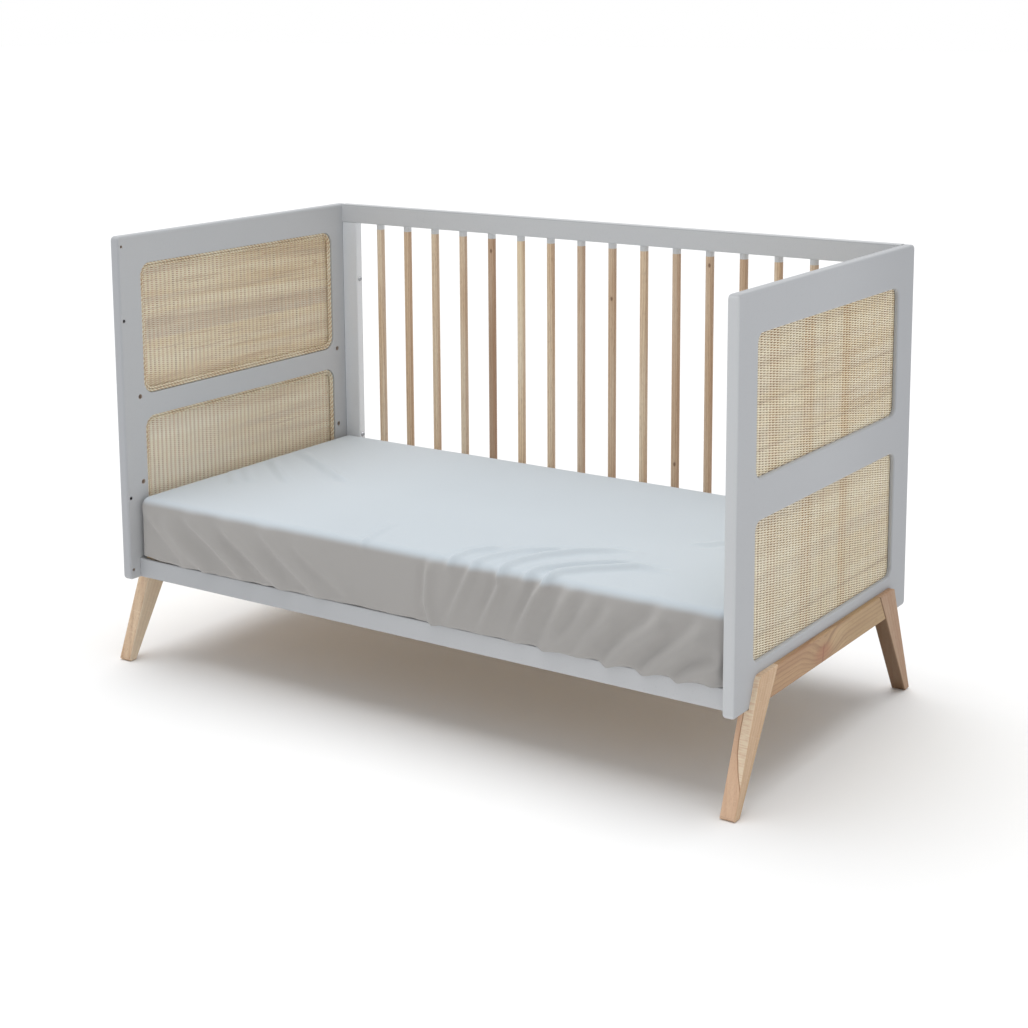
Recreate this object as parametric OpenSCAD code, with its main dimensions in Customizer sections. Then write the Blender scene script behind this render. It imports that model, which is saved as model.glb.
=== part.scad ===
// Baby crib: convertible cot bed with its front side taken off.
// Two lacquered end panels with cane windows stand on splayed wood leg frames.
// A dowelled back side joins them, and a slatted base hangs on four headed pins.
// X runs along the bed, Y from the open front to the back, Z up from the floor.
// Millimetres. The origin is on the floor under the middle of the bed.

/* [Bed] */
// Clear length between the two end panels
inner_l = 1404; // [1250:2:1700]
// Depth of an end panel, front to back
panel_w = 746; // [700:2:860]
// Height of the panels' top edge above the floor
panel_top = 910; // [880:1:1000]
// Height of the panels' bottom edge above the floor
panel_bottom = 178; // [160:1:186]
// Thickness of an end panel
panel_t = 22; // [20:0.5:28]
// Corner radius of an end panel's outline
panel_corner_r = 9; // [8:0.5:25]
// Rounding of an end panel's edges
panel_edge_r = 5; // [2:0.5:7]

/* [Windows] */
// Distance from the panel's front and back edge to a window, on the outer face
window_margin = 75; // [72:1:170]
// Distance from the panel's bottom edge to the lower window
window_bottom_margin = 78.5; // [74:0.5:95]
// Distance from the panel's top edge to the upper window
window_top_margin = 76; // [70:0.5:110]
// Distance between the two windows
window_gap = 75.5; // [60:0.5:120]
// Corner radius of a window on the outer face
window_r = 18; // [8:1:30]
// Rounding of the window's outer edge
window_edge_r = 4; // [1:0.5:5]
// Thickness of the lip that the cane sits against
window_lip = 8; // [5:0.5:9]
// Width of the rebate around the window on the inner face
rebate_w = 14; // [10:0.5:16]
// Corner radius of the rebate
rebate_r = 28; // [20:1:34]

/* [Cane] */
// Thickness of a cane panel at its border and ribs
cane_t = 6.5; // [3:0.5:7]
// Thickness of the woven field as a share of the border's
cane_field_share = 0.48; // [0.4:0.02:0.7]
// Number of ribs across a cane panel, one over every fifth stake
cane_rib_count = 10; // [4:1:14]
// Width of a rib, where the weavers cross over a stake
cane_rib_w = 4; // [2:0.5:8]
// Width of the braided trim
trim_w = 12; // [8:0.5:14]
// Thickness of the braided trim
trim_t = 5; // [2:0.5:5.5]

/* [Back side] */
// Height of the top and bottom rail
rail_h = 43; // [36:1:60]
// Thickness of the rails and stiles
side_t = 20; // [19:0.5:26]
// Width of a stile
stile_w = 42; // [30:1:60]
// Diameter of a dowel
dowel_d = 18; // [12:0.5:19]
// Number of dowels
dowel_count = 16; // [12:1:17]
// Gap between a stile and the dowel next to it
dowel_end_gap = 57; // [40:1:64]
// Diameter of the tenon on a dowel's end
dowel_tenon_d = 10; // [6:0.5:11]
// Length of the tenon on a dowel's end
dowel_tenon_l = 14; // [8:1:20]
// Width of a stile's tenon
stile_tenon_w = 24; // [12:1:28]
// Thickness of a stile's tenon
stile_tenon_t = 9; // [6:0.5:10]
// Length of a stile's tenon
stile_tenon_l = 11.5; // [8:0.5:20]
// Rounding of the rails' and stiles' edges
side_edge_r = 2.5; // [1:0.5:4]
// Height of the upper stile bolt above the floor
bolt_upper_z = 733; // [680:1:790]
// Height of the lower stile bolt above the floor
bolt_lower_z = 355; // [300:1:420]

/* [Legs] */
// Thickness of a leg, along the bed
leg_t = 30; // [26:0.5:36]
// How far a leg stands proud of the panel's outer face
leg_proud = 11; // [10:0.5:14]
// How far a foot's outer edge reaches past the panel's front or back edge
foot_overhang = 12; // [-20:1:50]
// Width of a leg at the floor
foot_w = 23; // [18:1:34]
// Outward run of a leg's outer edge for each unit of height
outer_splay = 0.39; // [0.25:0.01:0.42]
// Outward run of a leg's inner edge for each unit of height
inner_splay = 0.594; // [0.48:0.002:0.62]
// Height of the overlap between a leg frame and the panel's outer face
leg_overlap = 57; // [52:1:65]
// Rounding of a leg's edges
leg_edge_r = 3.5; // [1.5:0.5:4.5]
// Rounding of a foot's edges at the floor
foot_edge_r = 6.5; // [2:0.5:7]
// Rounding of a leg's outer top corner
leg_top_r = 14; // [6:1:18]
// Height of a crossbar
crossbar_h = 54; // [44:1:56]
// How far a crossbar's face stands back from the leg's face
crossbar_setback = 1.5; // [0.5:0.5:2]
// Rounding of a crossbar's edges
crossbar_edge_r = 3; // [1:0.5:4]
// Level distance from a leg's inner edge to its screws
leg_screw_inset = 14; // [10:1:20]
// Distance from a leg's top edge down to its upper screw
leg_screw_upper_drop = 15; // [12:1:18]
// Distance from a leg's top edge down to its lower screw
leg_screw_lower_drop = 41; // [36:1:46]
// Distance from the bed's middle to a crossbar's screws
crossbar_screw_y = 120; // [60:1:160]

/* [Base] */
// Height of the base pins' lowest row above the floor
base_pin_z = 200; // [196:1:204]
// Distance between two rows of base holes
base_row_pitch = 183.5; // [150:0.5:184]
// Distance from a panel's front or back edge to its column of base holes
base_pin_inset = 48; // [46:0.5:51]
// Width of a long rail, which its pin enters on the centre line
base_rail_w = 38; // [34:1:42]
// Height of a long rail
base_rail_h = 41; // [38:1:44]
// Width of an end rail and of the centre beam
base_cross_w = 30; // [24:1:40]
// Distance from a long rail's end to the end rail
base_end_inset = 12; // [10:1:40]
// Rounding of the base rails' long edges
base_edge_r = 2.5; // [1:0.5:4]
// Width of the tenons of the end rails and the centre beam
base_tenon_w = 18; // [10:1:20]
// Height of these tenons
base_tenon_h = 20; // [12:1:26]
// Length of these tenons
base_tenon_l = 12; // [8:1:16]
// Number of slats
slat_count = 10; // [8:1:10]
// Width of a slat
slat_w = 86; // [70:1:90]
// Thickness of a slat
slat_t = 12; // [9:0.5:13]
// How far a slat's end stands back from the long rail's outer face
slat_setback = 10; // [4:1:14]
// Rounding of a slat's long edges
slat_edge_r = 2; // [1:0.5:4]

/* [Mattress] */
// Thickness of the mattress with its sheet
mattress_h = 123; // [90:1:140]
// Distance from the panels' front edge to the mattress
mattress_setback = 26.1; // [24:0.1:60]
// Gap between the mattress and each end panel
mattress_end_gap = 3; // [2:0.5:8]
// Rounding of the mattress edges
mattress_edge_r = 22; // [14:1:30]
// Thickness of the sheet
sheet_t = 2; // [1:0.1:2.4]
// How far the sheet's hem hangs below the mattress
sheet_drop = 11; // [6:0.5:11.5]

/* [Fasteners] */
// Diameter of a stile bolt
bolt_d = 6; // [5:0.5:6]
// Depth of an insert's bore left free past the bolt's end
bolt_end_gap = 2; // [1:0.5:4]
// Diameter of a stile bolt's head
bolt_head_d = 12; // [10:0.5:13]
// Height of a stile bolt's head
bolt_head_h = 3.6; // [3:0.1:4.5]
// Width across the flats of the bolt head's hexagon
bolt_hex = 4; // [3:0.5:5]
// Outer diameter of a threaded insert
insert_d = 8; // [7.5:0.5:9]
// Length of a threaded insert
insert_l = 14; // [10:1:15]
// Diameter of a base pin's shank
pin_d = 10; // [8:0.5:11]
// Diameter of a base pin's head
pin_head_d = 16; // [14:0.5:17]
// Thickness of a base pin's head
pin_head_t = 4; // [3:0.5:5]
// Length of the pin's neck between the panel and its head
pin_neck = 4.5; // [3:0.5:5]
// Depth of a base pin's hole in the panel
pin_hole_l = 15; // [10:1:17]
// Diameter of a joint pin
joint_pin_d = 6; // [5:0.5:6]
// Length of a joint pin
joint_pin_l = 28; // [20:1:30]
// Shank diameter of a leg screw
leg_screw_d = 4.5; // [3:0.5:5]
// Length of a leg screw
leg_screw_l = 29; // [27:1:30]
// Head diameter of a leg screw
leg_screw_head_d = 9; // [7:0.5:10]
// Shank diameter of a slat screw
slat_screw_d = 4; // [3:0.5:4.5]
// Length of a slat screw
slat_screw_l = 32; // [24:1:36]
// Head diameter of a slat screw
slat_screw_head_d = 8; // [6:0.5:9]

/* [Clearances] */
// Radial clearance of a shank, tenon or pin in its hole
bore_fit = 0.1; // [0.05:0.05:0.2]
// Clearance between a let-in piece and its rebate or mortise
seat_fit = 0.3; // [0.1:0.1:0.4]
// Clearance of the base's hanging slots around the pins
hang_fit = 0.3; // [0.2:0.1:0.5]
// Gap between a long base rail's end and the panel
base_end_fit = 0.5; // [0.4:0.1:1]
// Clearance around soft pieces
soft_fit = 0.3; // [0.3:0.1:0.5]

/* [Hidden] */
$fn = 48;

// End panels
panel_in_x = inner_l / 2;
panel_out_x = panel_in_x + panel_t;
panel_h = panel_top - panel_bottom;
panel_mid_z = (panel_top + panel_bottom) / 2;
window_w = panel_w - 2 * window_margin;
window_h = (panel_h - window_bottom_margin - window_top_margin - window_gap) / 2;
lower_window_z = panel_bottom + window_bottom_margin + window_h / 2;
upper_window_z = panel_top - window_top_margin - window_h / 2;
window_zs = [lower_window_z, upper_window_z];
mat_w = window_w + 2 * (rebate_w - seat_fit);
mat_h = window_h + 2 * (rebate_w - seat_fit);
mat_r = rebate_r - seat_fit;
cane_recess = cane_t * (1 - cane_field_share) / 2;
cane_rib_pitch = mat_w / cane_rib_count;
cane_rib_ys = [for (i = [1:cane_rib_count]) (i - (cane_rib_count + 1) / 2) * cane_rib_pitch];
// How far a cutting shape runs past the face that it opens
run_out = 1;

// Back side
side_y = (panel_w - side_t) / 2;
side_front_y = side_y - side_t / 2;
top_rail_z = panel_top - rail_h / 2;
bottom_rail_z = panel_bottom + rail_h / 2;
rail_gap_bottom = panel_bottom + rail_h;
rail_gap_top = panel_top - rail_h;
stile_mid_x = panel_in_x - stile_w / 2;
stile_in_x = panel_in_x - stile_w;
dowel_end_x = stile_in_x - dowel_end_gap - dowel_d / 2;
dowel_pitch = 2 * dowel_end_x / (dowel_count - 1);
bolt_zs = [bolt_lower_z, bolt_upper_z];
rail_pin_zs = [bottom_rail_z, top_rail_z];
bolt_l = stile_w + insert_l - bolt_end_gap;

// Leg frames
leg_out_x = panel_out_x + leg_proud;
leg_in_x = leg_out_x - leg_t;
leg_mid_x = leg_out_x - leg_t / 2;
leg_top_z = panel_bottom + leg_overlap;
foot_reach = panel_w / 2 + foot_overhang;
foot_in_y = foot_reach - foot_w;
outer_tilt = atan(outer_splay);
inner_tilt = atan(inner_splay);
crossbar_out_x = leg_out_x - crossbar_setback;
crossbar_t = leg_proud - crossbar_setback;
crossbar_mid_z = leg_top_z - crossbar_h / 2;
frame_pin_x = panel_out_x + crossbar_t / 2;
arc_steps = 8;

// Base
base_l = inner_l - 2 * base_end_fit;
base_end_x = base_l / 2;
base_rail_y = panel_w / 2 - base_pin_inset;
base_out_y = base_rail_y + base_rail_w / 2;
base_in_y = base_rail_y - base_rail_w / 2;
base_top_z = base_pin_z + base_rail_h / 2;
end_rail_out_x = base_end_x - base_end_inset;
end_rail_mid_x = end_rail_out_x - base_cross_w / 2;
end_rail_in_x = end_rail_out_x - base_cross_w;
neck_x = panel_in_x - pin_neck;
head_x = neck_x - pin_head_t;
slat_run = 2 * base_end_x - 2 * slat_setback;
slat_pitch = (slat_run - slat_w) / (slat_count - 1);
slat_l = 2 * (base_out_y - slat_setback);
slat_top_z = base_top_z + slat_t;
slat_screw_ys = [-base_rail_y, 0, base_rail_y];

// Mattress
mattress_l = inner_l - 2 * mattress_end_gap;
mattress_back_y = side_front_y - soft_fit;
mattress_front_y = mattress_setback - panel_w / 2;
mattress_w = mattress_back_y - mattress_front_y;
mattress_y = (mattress_back_y + mattress_front_y) / 2;
mattress_bottom_z = slat_top_z + soft_fit;
mattress_top_z = slat_top_z + mattress_h;
hem_z = mattress_bottom_z - sheet_drop;
core_gap = sheet_t + soft_fit;

DOWELS = [for (i = [1:dowel_count]) str("back_dowel_", i)];
SLATS = [for (i = [1:slat_count]) str("base_slat_", i)];

LACQUER = "#b3b5b7";
CANE = "#cfc096";
BRAID = "#d8cda8";
OAK = "#b99b7a";
PALE_WOOD = "#d9c29a";
STEEL = "#9a9ca0";
COTTON = "#d4dbe1";

// ---- Shared shapes ----

// Flat rectangle with round corners, centred
module rounded_rect(w, h, r) {
    square([w - 2 * r, h], center = true);
    square([w, h - 2 * r], center = true);
    for (sx = [-1, 1], sy = [-1, 1])
        translate([sx * (w / 2 - r), sy * (h / 2 - r)])
            circle(r);
}

// Turns a shape drawn in X and Y, thick along Z, into one drawn in Y and Z, thick along X
module stand_up() {
    rotate([90, 0, 90])
        children();
}

// Bar along X with round long edges
module bar_x(length, depth, height, r) {
    stand_up()
        linear_extrude(length, center = true)
            rounded_rect(depth, height, r);
}

// Bar along Y with round long edges
module bar_y(length, width, height, r) {
    rotate([90, 0, 0])
        linear_extrude(length, center = true)
            rounded_rect(width, height, r);
}

// Sweeps a profile, drawn from the corner line outwards, round a rectangle with round corners
module frame_sweep(w, h, r) {
    for (side = [0, 180])
        rotate(side) {
            translate([0, h / 2, 0])
                rotate([90, 0, 90])
                    linear_extrude(w - 2 * r, center = true)
                        children();
            translate([w / 2, 0, 0])
                rotate([90, 0, 0])
                    linear_extrude(h - 2 * r, center = true)
                        children();
            translate([w / 2 - r, h / 2 - r, 0])
                rotate_extrude(angle = 90)
                    translate([r, 0])
                        children();
            translate([w / 2 - r, r - h / 2, 0])
                rotate(-90)
                    rotate_extrude(angle = 90)
                        translate([r, 0])
                            children();
        }
}

// Profile of a board's round edge, from the flat part outwards
module board_edge(t, r) {
    translate([0, r - t / 2])
        square([r, t - 2 * r]);
    for (s = [-1, 1])
        intersection() {
            translate([0, s * (t / 2 - r)])
                circle(r);
            translate([0, -t / 2])
                square([r, t]);
        }
}

// Flat board with a round-cornered outline and round edges
module board(w, h, t, corner_r, edge_r) {
    linear_extrude(t, center = true)
        rounded_rect(w - 2 * edge_r, h - 2 * edge_r, corner_r - edge_r);
    frame_sweep(w - 2 * edge_r, h - 2 * edge_r, corner_r - edge_r)
        board_edge(t, edge_r);
}

// Countersunk screw along +X, its head flush with X = 0
module countersunk(d, head_d, length) {
    rotate([0, 90, 0]) {
        cylinder(h = (head_d - d) / 2, d1 = head_d, d2 = d);
        cylinder(h = length, d = d);
    }
}

// Hole for such a screw, open past its head
module countersunk_hole(d, head_d, length) {
    countersunk(d + 2 * bore_fit, head_d + 2 * bore_fit, length + seat_fit);
    rotate([0, -90, 0])
        cylinder(h = run_out, d = head_d + 2 * bore_fit);
}

// Round hole along X from x to x + length
module hole_x(x, y, z, d, length) {
    translate([x, y, z])
        rotate([0, 90, 0])
            cylinder(h = length, d = d);
}

// ---- End panels: the right one, and its mirror image ----

// Corner that the round-over takes off the window's outer edge
module window_round_over() {
    difference() {
        translate([-run_out, -window_edge_r])
            square([window_edge_r + run_out, window_edge_r + run_out]);
        translate([window_edge_r, -window_edge_r])
            circle(window_edge_r);
    }
}

module window_cut() {
    translate([0, 0, -panel_t])
        linear_extrude(2 * panel_t)
            rounded_rect(window_w, window_h, window_r);
    translate([0, 0, -panel_t / 2 - run_out])
        linear_extrude(panel_t - window_lip + run_out)
            rounded_rect(window_w + 2 * rebate_w, window_h + 2 * rebate_w, rebate_r);
    translate([0, 0, panel_t / 2])
        frame_sweep(window_w, window_h, window_r)
            window_round_over();
}

// Leg screws' places: distance from the bed's middle and height above the floor
leg_screw_spots = [
    for (drop = [leg_screw_upper_drop, leg_screw_lower_drop])
        let (z = leg_top_z - drop)
            [foot_in_y - inner_splay * z + leg_screw_inset, z]
];
crossbar_screw_spots = [[crossbar_screw_y, crossbar_mid_z]];
frame_screw_spots = concat(leg_screw_spots, crossbar_screw_spots);

module end_panel() {
    color(LACQUER)
        difference() {
            translate([panel_in_x + panel_t / 2, 0, panel_mid_z])
                stand_up()
                    board(panel_w, panel_h, panel_t, panel_corner_r, panel_edge_r);
            for (z = window_zs)
                translate([panel_in_x + panel_t / 2, 0, z])
                    stand_up()
                        window_cut();
            for (side = [-1, 1]) {
                for (row = [0:2])
                    hole_x(
                        panel_in_x - run_out, side * base_rail_y, base_pin_z + row * base_row_pitch,
                        pin_d + 2 * bore_fit, pin_hole_l + run_out
                    );
                for (z = bolt_zs)
                    hole_x(
                        panel_in_x - run_out, side * side_y, z,
                        insert_d + 2 * bore_fit, insert_l + run_out
                    );
                for (z = rail_pin_zs)
                    hole_x(
                        panel_in_x - run_out, side * side_y, z,
                        joint_pin_d + 2 * bore_fit, joint_pin_l / 2 + seat_fit + run_out
                    );
                for (spot = frame_screw_spots)
                    translate([panel_in_x, side * spot[0], spot[1]])
                        countersunk_hole(leg_screw_d, leg_screw_head_d, leg_screw_l);
            }
        }
}

module end_panel_left() {
    mirror([1, 0, 0])
        end_panel();
}

module end_panel_right() {
    end_panel();
}

// ---- Cane panels, against the windows' lips ----

// The fields between the ribs on one face, as the weave sinks between its stakes
module cane_fields() {
    difference() {
        rounded_rect(window_w - 2 * seat_fit, window_h - 2 * seat_fit, window_r - seat_fit);
        for (y = cane_rib_ys)
            translate([y, 0])
                square([cane_rib_w, window_h], center = true);
    }
}

module cane_right(z) {
    color(CANE)
        translate([panel_out_x - window_lip - cane_t / 2, 0, z])
            stand_up()
                difference() {
                    linear_extrude(cane_t, center = true)
                        rounded_rect(mat_w, mat_h, mat_r);
                    for (face = [-1, 1])
                        translate([0, 0, face * cane_t / 2])
                            linear_extrude(2 * cane_recess, center = true)
                                cane_fields();
                }
}

module cane_left(z) {
    mirror([1, 0, 0])
        cane_right(z);
}

// ---- Braided trims over the edges of the cane ----

module trim_right(z) {
    color(BRAID)
        translate([panel_out_x - window_lip - cane_t - trim_t / 2, 0, z])
            stand_up()
                linear_extrude(trim_t, center = true)
                    difference() {
                        rounded_rect(mat_w, mat_h, mat_r);
                        rounded_rect(mat_w - 2 * trim_w, mat_h - 2 * trim_w, mat_r - trim_w);
                    }
}

module trim_left(z) {
    mirror([1, 0, 0])
        trim_right(z);
}

// ---- Back side ----

function dowel_x(i) = (i - (dowel_count + 1) / 2) * dowel_pitch;

// The bottom rail, its bores and mortises facing up; the top rail is its mirror image
module back_rail() {
    top = rail_h / 2;
    color(LACQUER)
        difference() {
            bar_x(inner_l, side_t, rail_h, side_edge_r);
            for (i = [1:dowel_count])
                translate([dowel_x(i), 0, top - dowel_tenon_l - seat_fit])
                    cylinder(h = dowel_tenon_l + seat_fit + run_out, d = dowel_tenon_d + 2 * bore_fit);
            for (side = [-1, 1]) {
                translate([side * stile_mid_x, 0, top - (stile_tenon_l + seat_fit - run_out) / 2])
                    cube([
                        stile_tenon_w + 2 * bore_fit,
                        stile_tenon_t + 2 * bore_fit,
                        stile_tenon_l + seat_fit + run_out
                    ], center = true);
                hole_x(
                    side * panel_in_x - joint_pin_l / 2 - seat_fit, 0, 0,
                    joint_pin_d + 2 * bore_fit, joint_pin_l + 2 * seat_fit
                );
            }
        }
}

module back_bottom_rail() {
    translate([0, side_y, bottom_rail_z])
        back_rail();
}

module back_top_rail() {
    translate([0, side_y, top_rail_z])
        mirror([0, 0, 1])
            back_rail();
}

module back_stile_right() {
    color(LACQUER)
        difference() {
            union() {
                translate([stile_mid_x, side_y, rail_gap_bottom])
                    linear_extrude(rail_gap_top - rail_gap_bottom)
                        rounded_rect(stile_w, side_t, side_edge_r);
                translate([stile_mid_x, side_y, (rail_gap_top + rail_gap_bottom) / 2])
                    cube([
                        stile_tenon_w,
                        stile_tenon_t,
                        rail_gap_top - rail_gap_bottom + 2 * stile_tenon_l
                    ], center = true);
            }
            for (z = bolt_zs)
                hole_x(stile_in_x - run_out, side_y, z, bolt_d + 2 * bore_fit, stile_w + 2 * run_out);
        }
}

module back_stile_left() {
    mirror([1, 0, 0])
        back_stile_right();
}

module back_dowel(i) {
    color(PALE_WOOD)
        translate([dowel_x(i), side_y, 0]) {
            translate([0, 0, rail_gap_bottom])
                cylinder(h = rail_gap_top - rail_gap_bottom, d = dowel_d);
            translate([0, 0, rail_gap_bottom - dowel_tenon_l])
                cylinder(h = rail_gap_top - rail_gap_bottom + 2 * dowel_tenon_l, d = dowel_tenon_d);
        }
}

// Bolt with a round head and a hexagon socket, along +X from the head's seat at X = 0
module stile_bolt() {
    difference() {
        rotate([0, 90, 0]) {
            cylinder(h = bolt_l, d = bolt_d);
            translate([0, 0, -bolt_head_h])
                cylinder(h = bolt_head_h, d1 = bolt_head_d - bolt_head_h, d2 = bolt_head_d);
        }
        translate([-bolt_head_h - run_out, 0, 0])
            rotate([0, 90, 0])
                cylinder(h = bolt_head_h / 2 + run_out, d = bolt_hex / cos(30), $fn = 6);
    }
}

module stile_bolts() {
    color(STEEL)
        for (flip = [0, 1], z = bolt_zs)
            mirror([flip, 0, 0])
                translate([stile_in_x, side_y, z])
                    stile_bolt();
}

module bolt_inserts() {
    color(STEEL)
        for (flip = [0, 1], side = [-1, 1], z = bolt_zs)
            mirror([flip, 0, 0])
                difference() {
                    hole_x(panel_in_x, side * side_y, z, insert_d, insert_l);
                    hole_x(
                        panel_in_x - run_out, side * side_y, z,
                        bolt_d + 2 * bore_fit, insert_l + 2 * run_out
                    );
                }
}

// Wood pins between the back rails and the panels, and between the crossbars and the legs
module joint_pins() {
    color(PALE_WOOD)
        for (flip = [0, 1])
            mirror([flip, 0, 0]) {
                for (z = rail_pin_zs)
                    hole_x(panel_in_x - joint_pin_l / 2, side_y, z, joint_pin_d, joint_pin_l);
                for (side = [-1, 1])
                    frame_pin(side, joint_pin_d, joint_pin_l);
            }
}

// ---- Leg frames: the right back leg, and its mirror images ----

// Pin across the joint between a leg and the right crossbar
module frame_pin(side, d, length) {
    joint_y = foot_in_y - inner_splay * crossbar_mid_z;
    translate([frame_pin_x, side * joint_y, crossbar_mid_z])
        rotate([90, 0, 0])
            cylinder(h = length, d = d, center = true);
}

// Points of an arc in Y and Z
function arc(mid, r, from, to) = [
    for (k = [0:arc_steps])
        let (a = from + (to - from) * k / arc_steps)
            mid + r * [cos(a), sin(a)]
];

// Centre of a round corner between the leg's outer edge and a level line
function outer_corner(r, z) = [foot_reach - (r + z * sin(outer_tilt)) / cos(outer_tilt), z];

// Centre of a round corner between the leg's inner edge and the floor
function inner_corner(r, z) = [foot_in_y + (r - z * sin(inner_tilt)) / cos(inner_tilt), z];

module leg_outline() {
    polygon(concat(
        arc(outer_corner(foot_edge_r, foot_edge_r), foot_edge_r, -90, outer_tilt),
        arc(outer_corner(leg_top_r, leg_top_z - leg_top_r), leg_top_r, outer_tilt, 90),
        [[foot_in_y - inner_splay * leg_top_z, leg_top_z]],
        arc(inner_corner(foot_edge_r, foot_edge_r), foot_edge_r, 180 + inner_tilt, 270)
    ));
}

// Tall bar whose face on one side lies on the leg's sloping edge, with that face's edges round
module leg_edge_bar(y, tilt, side) {
    depth = 3 * (foot_w + leg_overlap);
    translate([leg_mid_x, y, 0])
        rotate([tilt, 0, 0])
            translate([0, side * depth / 2, -panel_bottom])
                linear_extrude(3 * panel_bottom)
                    rounded_rect(leg_t, depth, leg_edge_r);
}

module leg() {
    color(OAK)
        difference() {
            intersection() {
                translate([leg_mid_x, 0, 0])
                    stand_up()
                        linear_extrude(leg_t, center = true)
                            leg_outline();
                leg_edge_bar(foot_reach, outer_tilt, -1);
                leg_edge_bar(foot_in_y, inner_tilt, 1);
                translate([leg_mid_x, 0, leg_top_z / 2])
                    bar_y(4 * foot_reach, leg_t, leg_top_z, leg_edge_r);
            }
            translate([leg_in_x - run_out, 0, panel_bottom])
                cube([panel_out_x - leg_in_x + run_out, panel_w, panel_h]);
            for (spot = leg_screw_spots)
                translate([panel_in_x, spot[0], spot[1]])
                    countersunk_hole(leg_screw_d, leg_screw_head_d, leg_screw_l);
            frame_pin(1, joint_pin_d + 2 * bore_fit, joint_pin_l + 2 * seat_fit);
        }
}

module leg_right_back() {
    leg();
}

module leg_right_front() {
    mirror([0, 1, 0])
        leg();
}

module leg_left_back() {
    mirror([1, 0, 0])
        leg();
}

module leg_left_front() {
    mirror([1, 0, 0])
        mirror([0, 1, 0])
            leg();
}

// Outline of a crossbar, its ends cut to the slope of the legs' inner edges
module crossbar_outline() {
    low = leg_top_z - crossbar_h;
    half_low = foot_in_y - inner_splay * low;
    half_top = foot_in_y - inner_splay * leg_top_z;
    polygon([[-half_low, low], [half_low, low], [half_top, leg_top_z], [-half_top, leg_top_z]]);
}

module crossbar_right() {
    color(OAK)
        difference() {
            intersection() {
                translate([panel_out_x, 0, 0])
                    stand_up()
                        linear_extrude(crossbar_t)
                            crossbar_outline();
                translate([crossbar_out_x - crossbar_h / 2, 0, crossbar_mid_z])
                    bar_y(2 * panel_w, crossbar_h, crossbar_h, crossbar_edge_r);
            }
            for (side = [-1, 1]) {
                for (spot = crossbar_screw_spots)
                    translate([panel_in_x, side * spot[0], spot[1]])
                        countersunk_hole(leg_screw_d, leg_screw_head_d, leg_screw_l);
                frame_pin(side, joint_pin_d + 2 * bore_fit, joint_pin_l + 2 * seat_fit);
            }
        }
}

module crossbar_left() {
    mirror([1, 0, 0])
        crossbar_right();
}

module leg_screws() {
    color(STEEL)
        for (flip = [0, 1], side = [-1, 1], spot = frame_screw_spots)
            mirror([flip, 0, 0])
                translate([panel_in_x, side * spot[0], spot[1]])
                    countersunk(leg_screw_d, leg_screw_head_d, leg_screw_l);
}

// ---- Base: hangs on four headed pins in the panels' lowest row of holes ----

module base_pins() {
    color(STEEL)
        for (flip = [0, 1], side = [-1, 1])
            mirror([flip, 0, 0]) {
                hole_x(neck_x, side * base_rail_y, base_pin_z, pin_d, pin_neck + pin_hole_l - seat_fit);
                hole_x(head_x, side * base_rail_y, base_pin_z, pin_head_d, pin_head_t);
            }
}

// Slot for one pin's neck or head, round at its top and open at the rail's underside
module hanging_slot(x, length, d) {
    wide = d + 2 * hang_fit;
    hole_x(x, 0, 0, wide, length);
    translate([x, -wide / 2, -base_rail_h])
        cube([length, wide, base_rail_h]);
}

// Long rail with its inner side towards +Y, centred on the pins' axis
module base_long_rail() {
    slot_end = head_x - hang_fit;
    color(LACQUER)
        difference() {
            bar_x(base_l, base_rail_w, base_rail_h, base_edge_r);
            for (flip = [0, 1])
                mirror([flip, 0, 0]) {
                    hanging_slot(slot_end, panel_in_x - slot_end, pin_d);
                    hanging_slot(slot_end, neck_x + hang_fit - slot_end, pin_head_d);
                    translate([end_rail_mid_x, base_rail_w / 2, 0])
                        cube([
                            base_tenon_w + 2 * bore_fit,
                            2 * (base_tenon_l + seat_fit),
                            base_tenon_h + 2 * bore_fit
                        ], center = true);
                }
            for (i = [1:slat_count])
                translate([slat_x(i), 0, base_rail_h / 2 + slat_t])
                    slat_screw_hole();
        }
}

module base_front_rail() {
    translate([0, -base_rail_y, base_pin_z])
        base_long_rail();
}

module base_back_rail() {
    translate([0, base_rail_y, base_pin_z])
        mirror([0, 1, 0])
            base_long_rail();
}

module base_end_rail_right() {
    color(PALE_WOOD)
        translate([end_rail_mid_x, 0, base_pin_z])
            difference() {
                union() {
                    bar_y(2 * base_in_y, base_cross_w, base_rail_h, base_edge_r);
                    cube([base_tenon_w, 2 * (base_in_y + base_tenon_l), base_tenon_h], center = true);
                }
                translate([-base_cross_w / 2, 0, 0])
                    cube([
                        2 * (base_tenon_l + seat_fit),
                        base_tenon_w + 2 * bore_fit,
                        base_tenon_h + 2 * bore_fit
                    ], center = true);
            }
}

module base_end_rail_left() {
    mirror([1, 0, 0])
        base_end_rail_right();
}

module base_centre_beam() {
    color(PALE_WOOD)
        translate([0, 0, base_pin_z])
            difference() {
                union() {
                    bar_x(2 * end_rail_in_x, base_cross_w, base_rail_h, base_edge_r);
                    cube([2 * (end_rail_in_x + base_tenon_l), base_tenon_w, base_tenon_h], center = true);
                }
                for (i = [1:slat_count])
                    translate([slat_x(i), 0, base_rail_h / 2 + slat_t])
                        slat_screw_hole();
            }
}

function slat_x(i) = (i - (slat_count + 1) / 2) * slat_pitch;

module slat_screw_hole() {
    rotate([0, 90, 0])
        countersunk_hole(slat_screw_d, slat_screw_head_d, slat_screw_l);
}

module base_slat(i) {
    color(PALE_WOOD)
        translate([slat_x(i), 0, 0])
            difference() {
                translate([0, 0, base_top_z + slat_t / 2])
                    bar_y(slat_l, slat_w, slat_t, slat_edge_r);
                for (y = slat_screw_ys)
                    translate([0, y, slat_top_z])
                        slat_screw_hole();
            }
}

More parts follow.
